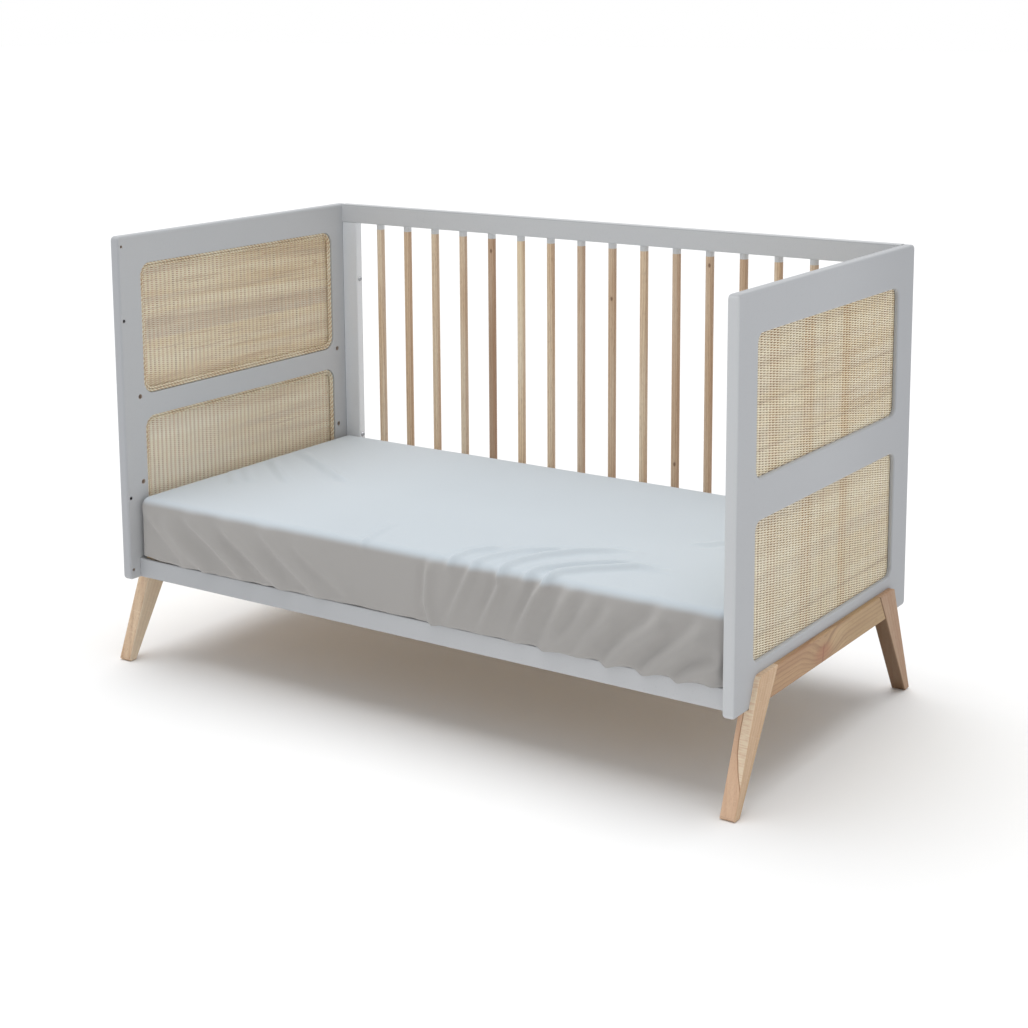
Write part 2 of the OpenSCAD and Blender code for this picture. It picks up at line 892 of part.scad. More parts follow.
module slat_screws() {
    color(STEEL)
        for (i = [1:slat_count], y = slat_screw_ys)
            translate([slat_x(i), y, slat_top_z])
                rotate([0, 90, 0])
                    countersunk(slat_screw_d, slat_screw_head_d, slat_screw_l);
}

// ---- Mattress and its fitted sheet ----

// Block with all its edges round, its top at top_z and its underside at bottom_z
module soft_block(l, w, bottom_z, top_z, r) {
    h = top_z - bottom_z;
    translate([0, mattress_y, (top_z + bottom_z) / 2])
        intersection() {
            bar_x(l, w, h, r);
            bar_y(w, l, h, r);
            linear_extrude(h, center = true)
                rounded_rect(l, w, r);
        }
}

module mattress() {
    color(COTTON)
        soft_block(
            mattress_l - 2 * core_gap, mattress_w - 2 * core_gap,
            mattress_bottom_z, mattress_top_z - core_gap, mattress_edge_r - core_gap
        );
}

module fitted_sheet() {
    skirt_z = hem_z - 2 * mattress_edge_r;
    color(COTTON)
        difference() {
            soft_block(mattress_l, mattress_w, skirt_z, mattress_top_z, mattress_edge_r);
            soft_block(
                mattress_l - 2 * sheet_t, mattress_w - 2 * sheet_t,
                skirt_z, mattress_top_z - sheet_t, mattress_edge_r - sheet_t
            );
            translate([0, mattress_y, hem_z - 2 * mattress_edge_r])
                cube([2 * mattress_l, 2 * mattress_w, 4 * mattress_edge_r], center = true);
        }
}

end_panel_left();
end_panel_right();
cane_left(window_zs[0]);  // cane_left_lower
cane_left(window_zs[1]);  // cane_left_upper
cane_right(window_zs[0]);  // cane_right_lower
cane_right(window_zs[1]);  // cane_right_upper
trim_left(window_zs[0]);  // trim_left_lower
trim_left(window_zs[1]);  // trim_left_upper
trim_right(window_zs[0]);  // trim_right_lower
trim_right(window_zs[1]);  // trim_right_upper
back_top_rail();
back_bottom_rail();
back_stile_left();
back_stile_right();
for (i = [1:dowel_count])
    back_dowel(i);
stile_bolts();
bolt_inserts();
joint_pins();
leg_left_front();
leg_left_back();
leg_right_front();
leg_right_back();
crossbar_left();
crossbar_right();
leg_screws();
base_pins();
base_front_rail();
base_back_rail();
base_end_rail_left();
base_end_rail_right();
base_centre_beam();
for (i = [1:slat_count])
    base_slat(i);
slat_screws();
mattress();
fitted_sheet();
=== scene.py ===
# Baby crib: lacquered end panels with woven rattan windows, a barred back, splayed wood
# legs, and a mattress in its fitted sheet on a slatted base, dressed over its solids.
import math

import bpy
import numpy as np
from mathutils import Matrix, Vector


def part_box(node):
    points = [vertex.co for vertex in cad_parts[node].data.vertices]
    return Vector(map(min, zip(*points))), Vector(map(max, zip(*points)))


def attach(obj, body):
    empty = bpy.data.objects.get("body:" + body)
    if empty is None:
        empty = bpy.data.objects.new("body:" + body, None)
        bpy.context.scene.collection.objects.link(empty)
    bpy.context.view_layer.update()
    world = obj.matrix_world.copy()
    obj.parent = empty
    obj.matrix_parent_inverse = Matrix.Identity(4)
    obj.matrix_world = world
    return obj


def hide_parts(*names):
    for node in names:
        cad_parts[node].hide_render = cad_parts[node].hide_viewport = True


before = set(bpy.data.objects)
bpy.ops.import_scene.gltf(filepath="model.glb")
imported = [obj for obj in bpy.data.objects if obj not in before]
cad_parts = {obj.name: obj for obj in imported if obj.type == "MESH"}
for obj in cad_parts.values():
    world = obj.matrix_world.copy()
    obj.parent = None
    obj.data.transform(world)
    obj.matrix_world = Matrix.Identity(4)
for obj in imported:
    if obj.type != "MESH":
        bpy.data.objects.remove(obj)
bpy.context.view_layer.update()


# ---- Camera ----
# A long lens at chest height, off the right front corner, looking down at the open side.

stand = Vector((2.1177, -3.0861, 1.3949))
yaw, pitch, roll = (math.radians(angle) for angle in (124.106, -9.460, -0.318))
ahead = Vector((
    math.cos(pitch) * math.cos(yaw), math.cos(pitch) * math.sin(yaw), math.sin(pitch)
))
level = ahead.cross(Vector((0, 0, 1))).normalized()
upright = level.cross(ahead)
rightward = math.cos(roll) * level + math.sin(roll) * upright
upward = math.cos(roll) * upright - math.sin(roll) * level
lens = bpy.data.cameras.new("camera")
lens.sensor_width = 36
lens.lens = 65.815
lens.shift_y = -0.20
lens.clip_end = 200
camera = bpy.data.objects.new("camera", lens)
bpy.context.scene.collection.objects.link(camera)
turned = Matrix((rightward, upward, -ahead)).transposed().to_4x4()
camera.matrix_world = Matrix.Translation(stand) @ turned
bpy.context.scene.camera = camera
bpy.context.scene.view_settings.view_transform = "Standard"


# ---- Studio floor, air and lamp ----
# A seamless pale paper floor under one very wide soft lamp overhead, set to the left and a
# little behind, in a bright even room. The floor keeps the crib's soft shadow.

class Shade:
    """A value inside a finish; sums and products of it add their Math nodes. Of two such
    values, | gives the larger and & the smaller."""

    def __init__(self, finish, socket):
        self.finish, self.socket = finish, socket

    def worked(self, operation, *values):
        return self.finish.node(
            "ShaderNodeMath", {"operation": operation}, dict(enumerate(values))
        )

    def __add__(self, other):
        return self.worked("ADD", self, other)

    def __sub__(self, other):
        return self.worked("SUBTRACT", self, other)

    def __rsub__(self, other):
        return self.worked("SUBTRACT", other, self)

    def __mul__(self, other):
        return self.worked("MULTIPLY", self, other)

    def __truediv__(self, other):
        return self.worked("DIVIDE", self, other)

    def __mod__(self, other):
        return self.worked("FLOORED_MODULO", self, other)

    def __pow__(self, other):
        return self.worked("POWER", self, other)

    def __abs__(self):
        return self.worked("ABSOLUTE", self)

    def __floor__(self):
        return self.worked("FLOOR", self)

    def __or__(self, other):
        return self.worked("MAXIMUM", self, other)

    def __and__(self, other):
        return self.worked("MINIMUM", self, other)

    def __lt__(self, other):
        return self.worked("LESS_THAN", self, other)

    def __gt__(self, other):
        return self.worked("GREATER_THAN", self, other)

    __radd__ = __add__
    __rmul__ = __mul__


class Finish:
    """What a surface is finished with; every node of it is made by node()."""

    def __init__(self, name, tree=None):
        if tree is None:
            self.material = bpy.data.materials.new(name)
            self.material.use_nodes = True
            tree = self.material.node_tree
        self.tree = tree
        tree.nodes.clear()

    def node(self, kind, settings=None, sockets=None, out=0):
        made = self.tree.nodes.new(kind)
        for name, value in (settings or {}).items():
            if name == "stops":
                elements = made.color_ramp.elements
                for place, colour in value[2:]:
                    elements.new(place)
                for element, (place, colour) in zip(elements, value):
                    element.position = place
                for element, (place, colour) in zip(elements, value):
                    element.color = colour
            elif name == "blend_between":
                made.color_ramp.interpolation = value
            else:
                setattr(made, name, value)
        for name, value in (sockets or {}).items():
            if isinstance(value, Shade):
                self.tree.links.new(value.socket, made.inputs[name])
            else:
                made.inputs[name].default_value = value
        return Shade(self, made.outputs[out]) if len(made.outputs) else None


def tone(red, green, blue):
    """A paint colour given as it looks, 0 to 255, as light values."""
    plain = [c / 255 for c in (red, green, blue)]
    light = [c / 12.92 if c < 0.04045 else ((c + 0.055) / 1.055) ** 2.4 for c in plain]
    return (*light, 1)


room_tint, room_strength = (0.98, 0.99, 1, 1), 0.54
lamp_strength, lamp_spread, lamp_side = 2.0, math.radians(60), Vector((-0.16, 0.12, 1))
paper_tint, floor_half = (0.94, 0.94, 0.94, 1), 40

air = bpy.data.worlds.new("air")
bpy.context.scene.world = air
air.use_nodes = True
sky = Finish("air", air.node_tree)
straight, mirrored, let_through = [
    sky.node("ShaderNodeLightPath", out=kind)
    for kind in ("Is Camera Ray", "Is Glossy Ray", "Is Transmission Ray")
]
seen = straight | mirrored | let_through
room_light = sky.node(
    "ShaderNodeBackground", None, {"Color": room_tint, "Strength": room_strength}
)
white_wall = sky.node("ShaderNodeBackground", None, {"Color": (1, 1, 1, 1), "Strength": 1})
room = sky.node("ShaderNodeMixShader", None, {0: seen, 1: room_light, 2: white_wall})
sky.node("ShaderNodeOutputWorld", None, {"Surface": room})

lamp = bpy.data.lights.new("overhead_lamp", "SUN")
lamp.energy = lamp_strength
lamp.angle = lamp_spread
lamp_holder = bpy.data.objects.new("overhead_lamp", lamp)
lamp_holder.rotation_euler = lamp_side.to_track_quat("Z", "Y").to_euler()
bpy.context.scene.collection.objects.link(lamp_holder)

floor_mesh = bpy.data.meshes.new("floor")
floor_mesh.from_pydata(
    [(x, y, 0) for x, y in ((-1, -1), (1, -1), (1, 1), (-1, 1))], [], [(0, 1, 2, 3)]
)
floor_mesh.transform(Matrix.Scale(floor_half, 4))
floor = bpy.data.objects.new("floor", floor_mesh)
bpy.context.scene.collection.objects.link(floor)
paper = Finish("floor_paper")
matt_paper = paper.node("ShaderNodeBsdfDiffuse", None, {"Color": paper_tint})
paper.node("ShaderNodeOutputMaterial", None, {"Surface": matt_paper})
floor_mesh.materials.append(paper.material)


# ---- End panels ----
# Two boards of fibreboard, rounded over at every edge and sprayed in satin grey lacquer.
# Each has two windows and its rows of bored holes, whose walls stay raw board.

def here(finish, output="Object"):
    """The three coordinates of a point on the object, or of its direction out, "Normal"."""
    place = finish.node("ShaderNodeTexCoord", out=output)
    return [
        finish.node("ShaderNodeSeparateXYZ", None, {0: place}, out=axis) for axis in range(3)
    ]


def grit(finish, x, y, z, scale=1.0, detail=2.0, rough=0.5):
    """Soft noise from 0 to 1 at the point x, y, z."""
    at = finish.node("ShaderNodeCombineXYZ", None, {0: x, 1: y, 2: z})
    return finish.node("ShaderNodeTexNoise", None, {
        "Vector": at, "Scale": scale, "Detail": detail, "Roughness": rough
    })


def fade(finish, value, low, high, to_low=0.0, to_high=1.0):
    """A smooth change from to_low to to_high as value goes from low to high."""
    return finish.node("ShaderNodeMapRange", {"interpolation_type": "SMOOTHSTEP"}, {
        "Value": value, "From Min": low, "From Max": high, "To Min": to_low, "To Max": to_high
    })


def mixed(finish, under, over, mask):
    """The colour under, gone over to the colour over where mask is 1."""
    return finish.node(
        "ShaderNodeMix", {"data_type": "RGBA"}, {0: mask, 6: under, 7: over}, out=2
    )


def layered(finish, colour, *layers):
    """The colour, gone over in turn with each layer: a tone and the mask it is laid on by."""
    for over, mask in layers:
        colour = mixed(finish, colour, over, mask)
    return colour


def relief(finish, height, depth, strength):
    """The normal of a surface that height raises by up to depth metres."""
    return finish.node(
        "ShaderNodeBump", None, {"Strength": strength, "Distance": depth, "Height": height}
    )


def surface(finish, **sockets):
    """Closes a finish: one Principled surface with these sockets."""
    named = {name.replace("_", " "): value for name, value in sockets.items()}
    shader = finish.node("ShaderNodeBsdfPrincipled", None, named)
    finish.node("ShaderNodeOutputMaterial", None, {"Surface": shader})


def dress(finish, *names):
    """Gives these solids this finish."""
    for name in names:
        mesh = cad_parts[name].data
        mesh.materials.clear()
        mesh.materials.append(finish.material)


base_hole_column, first_base_hole, base_hole_rise, base_holes_end = 0.325, 0.200, 0.1835, 0.60
side_hole_column, side_holes_start, side_holes_end = 0.363, 0.190, 0.895
base_hole_radius, side_hole_radius = 0.0054, 0.0034
panel_inner, hole_bottom, paint_depth = 0.702, 0.7176, 0.0003
front_rounding, top_rounding = (0.3672, 0.3722), (0.9058, 0.9088)


def satin_lacquer(name, deep, pale, front, upper, painted_shade_share=0.0, axis=1, start=-0.05, end=0.36):
    """Sprayed grey paint: its two close tones, the painted light and shade on a panel's front
    and top edge, and how much painted shade darkens it along an axis from start to end."""
    lacquer = Finish(name)
    x, y, z = here(lacquer)
    in_board = (abs(x) > panel_inner + paint_depth) * (abs(x) < hole_bottom)
    from_row = z - (first_base_hole - base_hole_rise / 2)
    from_row = from_row % base_hole_rise - base_hole_rise / 2
    from_hole = ((abs(y) - base_hole_column) ** 2 + from_row ** 2) ** 0.5
    base_bores = (from_hole < base_hole_radius) * (z < base_holes_end)
    side_bores = abs(abs(y) - side_hole_column) < side_hole_radius
    side_bores = side_bores * (z > side_holes_start) * (z < side_holes_end)
    bores = in_board * (base_bores | side_bores)
    cloud = grit(lacquer, x, y, z, scale=2.3, detail=3)
    spray = grit(lacquer, x, y, z, scale=310, detail=2)
    peel = grit(lacquer, x, y, z, scale=120, detail=1)
    satin = layered(
        lacquer, mixed(lacquer, tone(*deep), tone(*pale), cloud),
        (tone(*[c - 12 for c in deep]), fade(lacquer, spray, 0.56, 0.80) * 0.35),
        # Painted shade darkens it along the axis; the front and top edges carry painted light and
        # shade.
        (tone(*[c - 16 for c in deep]), fade(lacquer, (x, y, z)[axis], start, end, 0.0, painted_shade_share)),
        (tone(*front), fade(lacquer, abs(y), *front_rounding) * 0.9),
        (tone(*upper), fade(lacquer, z, *top_rounding) * 0.9),
    )
    board = grit(lacquer, x, y, z, scale=900)
    raw_board = mixed(lacquer, tone(186, 166, 152), tone(214, 198, 184), board)
    surface(
        lacquer,
        Base_Color=mixed(lacquer, satin, raw_board, bores),
        Roughness=fade(lacquer, cloud, 0.3, 0.7, 0.46, 0.54) + bores * 0.3,
        Normal=relief(lacquer, spray * 0.35 + peel, 0.00018, 0.35),
        Specular_IOR_Level=0.30,
    )
    return lacquer


# Both panels have one lacquer. The right one's darker tones and its darkening towards the back are
# painted shade, and its front edges a painted highlight; the front edges of the left one and the top
# edges of both are painted shade.
left_paint = satin_lacquer(
    "left_panel_lacquer", (196, 198, 200), (202, 203, 205), (182, 184, 188), (180, 182, 185)
)
dress(left_paint, "end_panel_left")
right_paint = satin_lacquer(
    "right_panel_lacquer", (184, 186, 190), (190, 192, 195), (210, 212, 214), (176, 178, 181),
    painted_shade_share=0.6
)
dress(right_paint, "end_panel_right")


# ---- Rattan windows ----
# Round rattan stakes stand upright and flat rattan weavers pass in front of one and behind
# the next, packed tight by hand. The mat is stapled into the rebate from inside.

stakes_across, stake_run = 50, 0.6234
weaver_pitch, stake_pitch = 0.00226, stake_run / stakes_across
weaver_rise, weaver_half_depth, weave_swing = 0.00143, 0.00085, 0.00118
weaver_turn, edge_gap = 0.26 * stake_pitch, 0.0005
stake_half_width, stake_half_depth, stake_waver, stake_rings = 0.00285, 0.00085, 0.0002, 12
left_mat_middle, right_mat_middle, between_windows = 0.71225, 0.71385, 0.54
mat_half_width, mat_half_height, mat_corner = 0.3114, 0.1389, 0.0277
middle_three, front_three = 6.5 * stake_pitch, 17.5 * stake_pitch
along_x, along_y, along_z = np.eye(3)[:, None]


def strand(points, across, through, width, depth, closed=False):
    """The skin of a six-sided tube along points, with half-axes width along across and
    depth along through; returns its vertices and faces."""
    sides = 6
    turn = np.arange(sides) * 2 * np.pi / sides
    rings = (
        points[:, None]
        + width * np.cos(turn)[None, :, None] * across[:, None]
        + depth * np.sin(turn)[None, :, None] * through[:, None]
    )
    count = len(points)
    start = np.arange(count if closed else count - 1)[:, None]
    end = (start + 1) % count
    side = np.arange(sides)[None]
    beside = (side + 1) % sides
    faces = np.stack(
        [start * sides + side, start * sides + beside, end * sides + beside, end * sides + side], -1
    ).reshape(-1, 4).tolist()
    if not closed:
        faces += [list(range(sides))[::-1], [(count - 1) * sides + k for k in range(sides)]]
    return rings.reshape(-1, 3), faces


def gather(parts):
    """Joins (vertices, faces) pairs into one list of vertices and one of faces."""
    points, faces, used = [], [], 0
    for vertices, own in parts:
        points.append(vertices)
        faces += [[used + k for k in face] for face in own]
        used += len(vertices)
    return np.concatenate(points), faces


def piece(name, vertices, faces, *finishes):
    """A smooth mesh object in the crib's frame."""
    mesh = bpy.data.meshes.new(name)
    mesh.from_pydata(vertices.tolist(), [], faces)
    mesh.polygons.foreach_set("use_smooth", [True] * len(mesh.polygons))
    for finish in finishes:
        mesh.materials.append(finish.material)
    made = bpy.data.objects.new(name, mesh)
    bpy.context.scene.collection.objects.link(made)
    return made


weaver_rattan = Finish("rattan_weavers")
x, y, z = here(weaver_rattan)
row = math.floor(z / weaver_pitch + 0.5)
off_middle = abs(x) - left_mat_middle - (x > 0) * (right_mat_middle - left_mat_middle)
outside = fade(weaver_rattan, off_middle, 0.0, 0.001)
end_seed = (x > 0) * 19
bands = grit(weaver_rattan, y * 1.5, row * 0.075, end_seed, detail=4, rough=0.60)
hue = grit(weaver_rattan, y * 0.9, row * 0.060, end_seed + 40, detail=2)
each_row = grit(weaver_rattan, y * 5.0, row * 7.3, end_seed + 11, detail=1)
streaks = grit(weaver_rattan, y * 26.0, row * 3.9, end_seed + 70, detail=1)
golden = weaver_rattan.node("ShaderNodeValToRGB", {"stops": [
    (0.30, tone(206, 178, 136)), (0.41, tone(230, 208, 166)),
    (0.51, tone(242, 226, 190)), (0.66, tone(250, 240, 212)),
]}, {0: bands})
rosy = weaver_rattan.node("ShaderNodeValToRGB", {"stops": [
    (0.30, tone(190, 166, 138)), (0.44, tone(221, 203, 174)), (0.62, tone(244, 232, 206)),
]}, {0: bands})
strip = mixed(weaver_rattan, golden, rosy, fade(weaver_rattan, hue, 0.48, 0.62))
right_mats, left_mats, lower_mats = x > 0, x < 0, z < between_windows
column = math.floor(y / stake_pitch)
column_tone = grit(weaver_rattan, column * 0.61, 0, end_seed, detail=1)
three_middle, three_front = [
    fade(weaver_rattan, off_three, 1.62 * stake_pitch, 1.45 * stake_pitch)
    for off_three in (abs(abs(y) - middle_three), abs(y + front_three))
]
golden_threes = (three_middle | three_front * 0.7) * right_mats
dashes = fade(weaver_rattan, each_row, 0.40, 0.56, 0.45, 1.0)
brown_rows = 0
for height, reach, core, share in (
    (0.710, 0.0046, 0.0016, 1.0), (0.628, 0.0050, 0.0018, 1.0), (0.2955, 0.0040, 0.0018, 1.2)
):
    brown_rows = fade(weaver_rattan, abs(z - height), reach, core) * share + brown_rows
cool_band = fade(weaver_rattan, abs(z - 0.701), 0.024, 0.015) * left_mats
# Painted light: the lower mats, the left ones most, and the weave towards the front are lightened where
# the sheet and frame shade them.
painted_light_towards_front = fade(weaver_rattan, y, 0.05, -0.20)
painted_light_share = lower_mats * (0.10 + left_mats * 0.22) + painted_light_towards_front * (0.12 + lower_mats * 0.14)
# Painted highlight on the crowns of the weavers, where they stand out farthest from the mat.
painted_crown_highlight = fade(weaver_rattan, abs(off_middle), 0.0010, 0.0020)
fibre = grit(weaver_rattan, x * 1600, y * 60, z * 1600, detail=1)
strip = layered(
    weaver_rattan, strip,
    (tone(168, 122, 78), fade(weaver_rattan, each_row, 0.58, 0.72) * 0.5),
    (tone(248, 240, 214), fade(weaver_rattan, each_row, 0.42, 0.28) * 0.4),
    (tone(186, 120, 52), fade(weaver_rattan, streaks, 0.70, 0.76) * 0.7),
    (tone(250, 243, 230), fade(weaver_rattan, column_tone, 0.50, 0.62) * right_mats * 0.35),
    (tone(214, 184, 134), fade(weaver_rattan, column_tone, 0.47, 0.38) * right_mats * 0.30),
    (tone(212, 176, 100), golden_threes * 0.30),
    (tone(162, 124, 86), brown_rows * dashes * right_mats * 0.62),
    (tone(198, 182, 168), cool_band * 0.45),
    # An even lightening of 0.12, with the painted light on the lower and front weave on top of it.
    (tone(254, 250, 234), 0.12 + painted_light_share),
    (tone(253, 247, 228), painted_crown_highlight * 0.5),
    (tone(250, 238, 206), outside * 0.18),
    (tone(176, 148, 106), fade(weaver_rattan, fibre, 0.55, 0.75) * 0.25),
)
surface(
    weaver_rattan,
    Base_Color=strip,
    Roughness=fade(weaver_rattan, fibre, 0.2, 0.8, 0.44, 0.58),
    Normal=relief(weaver_rattan, fibre, 0.00012, 0.5),
)

stake_rattan = Finish("rattan_stakes")
x, y, z = here(stake_rattan)
column = math.floor(y / stake_pitch)
right_mats = x > 0
dark_columns = grit(stake_rattan, column * 0.43, right_mats * 31, 0, detail=1)
along = grit(stake_rattan, column * 9.1, z * 12, right_mats * 17, detail=2)
in_middle_three = abs(abs(y) - middle_three) < 1.5 * stake_pitch
in_front_three = abs(y + front_three) < 1.5 * stake_pitch
# The stakes of the left mats are painted lighter than those of the right ones: painted light against
# the shade in the recessed dots where they show.
shoot = layered(
    stake_rattan, mixed(stake_rattan, tone(214, 172, 140), tone(202, 162, 134), column % 2),
    (tone(182, 160, 132), right_mats * 0.9),
    (tone(150, 92, 48), fade(stake_rattan, dark_columns, 0.54, 0.60) * right_mats * 0.8),
    (tone(160, 98, 38), in_middle_three * right_mats * 0.95),
    (tone(160, 100, 42), in_front_three * right_mats * 0.8),
    (tone(126, 88, 58), fade(stake_rattan, along, 0.50, 0.72) * 0.4),
)
surface(
    stake_rattan,
    Base_Color=shoot,
    Roughness=0.6,
    Normal=relief(stake_rattan, grit(stake_rattan, x * 1500, y * 1500, z * 90), 0.0001, 0.5),
)


def reach_in_mat(half_length, half_across, place, half_strand):
    """How far a strand at place runs either way before the mat's edge or round corner."""
    past = abs(place) + half_strand - (half_across - mat_corner)
    if past > 0:
        half_length -= mat_corner - math.sqrt(max(mat_corner ** 2 - past ** 2, 0))
    return half_length


def woven_mat(name, end, middle_z):
    """One window's mat; its flat bake map keeps the outside, inside and stakes apart."""
    middle_x = right_mat_middle if end > 0 else -left_mat_middle
    low, high = middle_z - mat_half_height, middle_z + mat_half_height
    columns = np.arange(-stakes_across // 2, stakes_across // 2)
    crossed = (columns + 0.5) * stake_pitch
    turns = np.sort(np.concatenate([crossed - weaver_turn, crossed + weaver_turn]))
    weavers, stakes = [], []
    first_row = math.ceil((low + weaver_rise) / weaver_pitch)
    last_row = math.floor((high - weaver_rise) / weaver_pitch)
    for row in range(first_row, last_row + 1):
        height = row * weaver_pitch
        half = reach_in_mat(mat_half_width, mat_half_height, height - middle_z, weaver_rise)
        along = np.concatenate([[-half], turns[np.abs(turns) < half - edge_gap], [half]])
        nearest = np.clip(np.round(along / stake_pitch - 0.5), columns[0], columns[-1])
        swing = weave_swing * np.where((nearest + row) % 2 == 0, 1.0, -1.0)
        points = np.stack([middle_x + swing, along, np.full_like(along, height)], 1)
        weavers.append(strand(points, along_z, along_x, weaver_rise, weaver_half_depth))
    for column in columns:
        place = (column + 0.5) * stake_pitch
        half = reach_in_mat(mat_half_height, mat_half_width, place, stake_half_width)
        heights = np.linspace(middle_z - half, middle_z + half, stake_rings)
        wavering = place + stake_waver * np.sin(heights * 90 + column)
        points = np.stack([np.full_like(heights, middle_x), wavering, heights], 1)
        stakes.append(strand(points, along_x, along_y, stake_half_depth, stake_half_width))
    weaver_points, weaver_faces = gather(weavers)
    points, faces = gather([(weaver_points, weaver_faces), gather(stakes)])
    mat = piece(name, points, faces, weaver_rattan, stake_rattan)
    mesh = mat.data
    is_stake = (np.arange(len(faces)) >= len(weaver_faces)).astype(np.int32)
    mesh.polygons.foreach_set("material_index", is_stake)
    facing = np.empty(len(faces) * 3)
    mesh.polygons.foreach_get("normal", facing)
    outward = facing.reshape(-1, 3)[:, 0] * end > 0
    sizes = np.array([len(face) for face in faces])
    corner_vertex = np.concatenate([np.array(face) for face in faces])
    corner_stake, corner_out = np.repeat(is_stake, sizes), np.repeat(outward, sizes)
    across = (points[corner_vertex, 1] + mat_half_width) / (2 * mat_half_width)
    rise = (points[corner_vertex, 2] - low) / (high - low)
    # Each of these is where a strip of the bake map starts, or how high it is: stakes first.
    outside_foot, inside_foot, span = np.where(
        corner_stake == 1, [[0.002], [0.040], [0.034]], [[0.548], [0.084], [0.448]]
    )
    foot = np.where(corner_out, outside_foot, inside_foot)
    bake_map = mesh.uv_layers.new(name="OFBake")
    bake_map.data.foreach_set("uv", np.stack([across, foot + span * rise], 1).ravel())
    return mat


for side, end in (("left", -1), ("right", 1)):
    for level_name in ("lower", "upper"):
        node_name = f"cane_{side}_{level_name}"
        low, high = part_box(node_name)
        mat = woven_mat(f"woven_{node_name}", end, (low.z + high.z) / 2)
        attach(mat, "frame")
        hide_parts(node_name)


# ---- Braided edging ----
# Two twisted rattan cords lie side by side round each window on the inner side and hide
# the cut ends of the mat; they are glued and pinned over its edge.

outer_cord = dict(inset=0.00325, pitch=0.0112, side=0.00155, lift=0.00088, width=0.00165, depth=0.00158)
inner_cord = dict(inset=0.00900, pitch=0.0084, side=0.00120, lift=0.00095, width=0.00126, depth=0.00126)
edging_step = 0.0016
edging_half_width, edging_half_height, edging_corner = 0.3117, 0.1392, 0.0277


def cord_rattan(name, pale, warm, speck):
    """The finish of one strand: its two tones, and that of its flecks."""
    strand_rattan = Finish(name)
    x, y, z = here(strand_rattan)
    ply = grit(strand_rattan, x * 300, y * 300, z * 300, detail=2, rough=0.6)
    length_tone = grit(strand_rattan, x, y * 14, z * 14, detail=2)
    colour = layered(
        strand_rattan, tone(*pale),
        (tone(*warm), fade(strand_rattan, length_tone, 0.35, 0.65)),
        (tone(*speck), fade(strand_rattan, ply, 0.58, 0.68) * 0.7),
    )
    surface(
        strand_rattan,
        Base_Color=colour,
        Roughness=0.55,
        Normal=relief(strand_rattan, grit(strand_rattan, x, y, z, scale=1400), 0.00012, 0.5),
    )
    return strand_rattan


pale_strand = cord_rattan("pale_strand", (254, 248, 228), (248, 238, 212), (216, 184, 146))
russet_strand = cord_rattan("russet_strand", (236, 218, 188), (220, 190, 154), (170, 118, 82))


def round_window(inset):
    """Points and outward directions on the rounded oblong at inset inside the mat's edge."""
    radius = edging_corner - inset
    corners = np.array([(1, 1), (-1, 1), (-1, -1), (1, -1)]) * [
        edging_half_width - inset - radius, edging_half_height - inset - radius
    ]
    arc_steps = max(8, int(radius * np.pi / 2 / edging_step))
    points, outward = [], []
    for turn in range(4):
        angles = np.linspace(turn, turn + 1, arc_steps) * np.pi / 2
        away = np.stack([np.cos(angles), np.sin(angles)], 1)
        arc = corners[turn] + radius * away
        points.append(arc)
        outward.append(away)
        run_end = corners[(turn + 1) % 4] + radius * away[-1]
        steps = int(np.linalg.norm(run_end - arc[-1]) / edging_step)
        share = np.linspace(0, 1, steps + 1)[1:-1, None]
        points.append(arc[-1] * (1 - share) + run_end * share)
        outward.append(np.tile(away[-1], (steps - 1, 1)))
    return np.concatenate(points), np.concatenate(outward)


def twisted_cord(end, middle_z, surface_x, inset, pitch, side, lift, width, depth):
    """Both strands of one cord round a window."""
    flat, away = round_window(inset)
    lengths = np.linalg.norm(np.roll(flat, -1, 0) - flat, axis=1)
    distance = np.concatenate([[0], np.cumsum(lengths)[:-1]])
    turns = round(lengths.sum() / pitch)
    strands = []
    for start in (0, np.pi):
        phase = start + 2 * np.pi * turns * distance / lengths.sum()
        place = flat + away * (side * np.cos(phase))[:, None]
        through_x = surface_x + end * lift * np.sin(phase)
        points = np.column_stack([through_x, place[:, 0], middle_z + place[:, 1]])
        across = np.column_stack([np.zeros(len(away)), away])
        strands.append(strand(points, -across, along_x, width, depth, closed=True))
    return strands


for side, end in (("left", -1), ("right", 1)):
    for level_name in ("lower", "upper"):
        node_name = f"trim_{side}_{level_name}"
        low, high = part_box(node_name)
        middle = (low + high) / 2
        cords = twisted_cord(end, middle.z, middle.x, **outer_cord)
        cords += twisted_cord(end, middle.z, middle.x, **inner_cord)
        edging = piece(f"braided_{node_name}", *gather(cords), pale_strand, russet_strand)
        russet = np.concatenate([np.full(len(faces), k % 2) for k, (_, faces) in enumerate(cords)])
        edging.data.polygons.foreach_set("material_index", russet.astype(np.int32))
        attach(edging, "frame")
        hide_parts(node_name)


# ---- Back side ----
# Sixteen turned wood bars stand between two lacquered rails and two square stiles. Their
# ends are dipped in light grey paint before they are glued into the rails.

# The rails and stiles have the panels' lacquer painted lighter as painted light, the stiles most, where
# the corner shades them; their top edges, and the stiles' front edges, are painted shade.
rail_paint = satin_lacquer(
    "back_rail_lacquer", (208, 209, 211), (214, 215, 216), (208, 209, 211), (184, 186, 188)
)
dress(rail_paint, "back_top_rail", "back_bottom_rail")
stile_paint = satin_lacquer(
    "stile_lacquer", (230, 232, 235), (236, 237, 239), (206, 208, 210), (186, 188, 190)
)
dress(stile_paint, "back_stile_left", "back_stile_right")


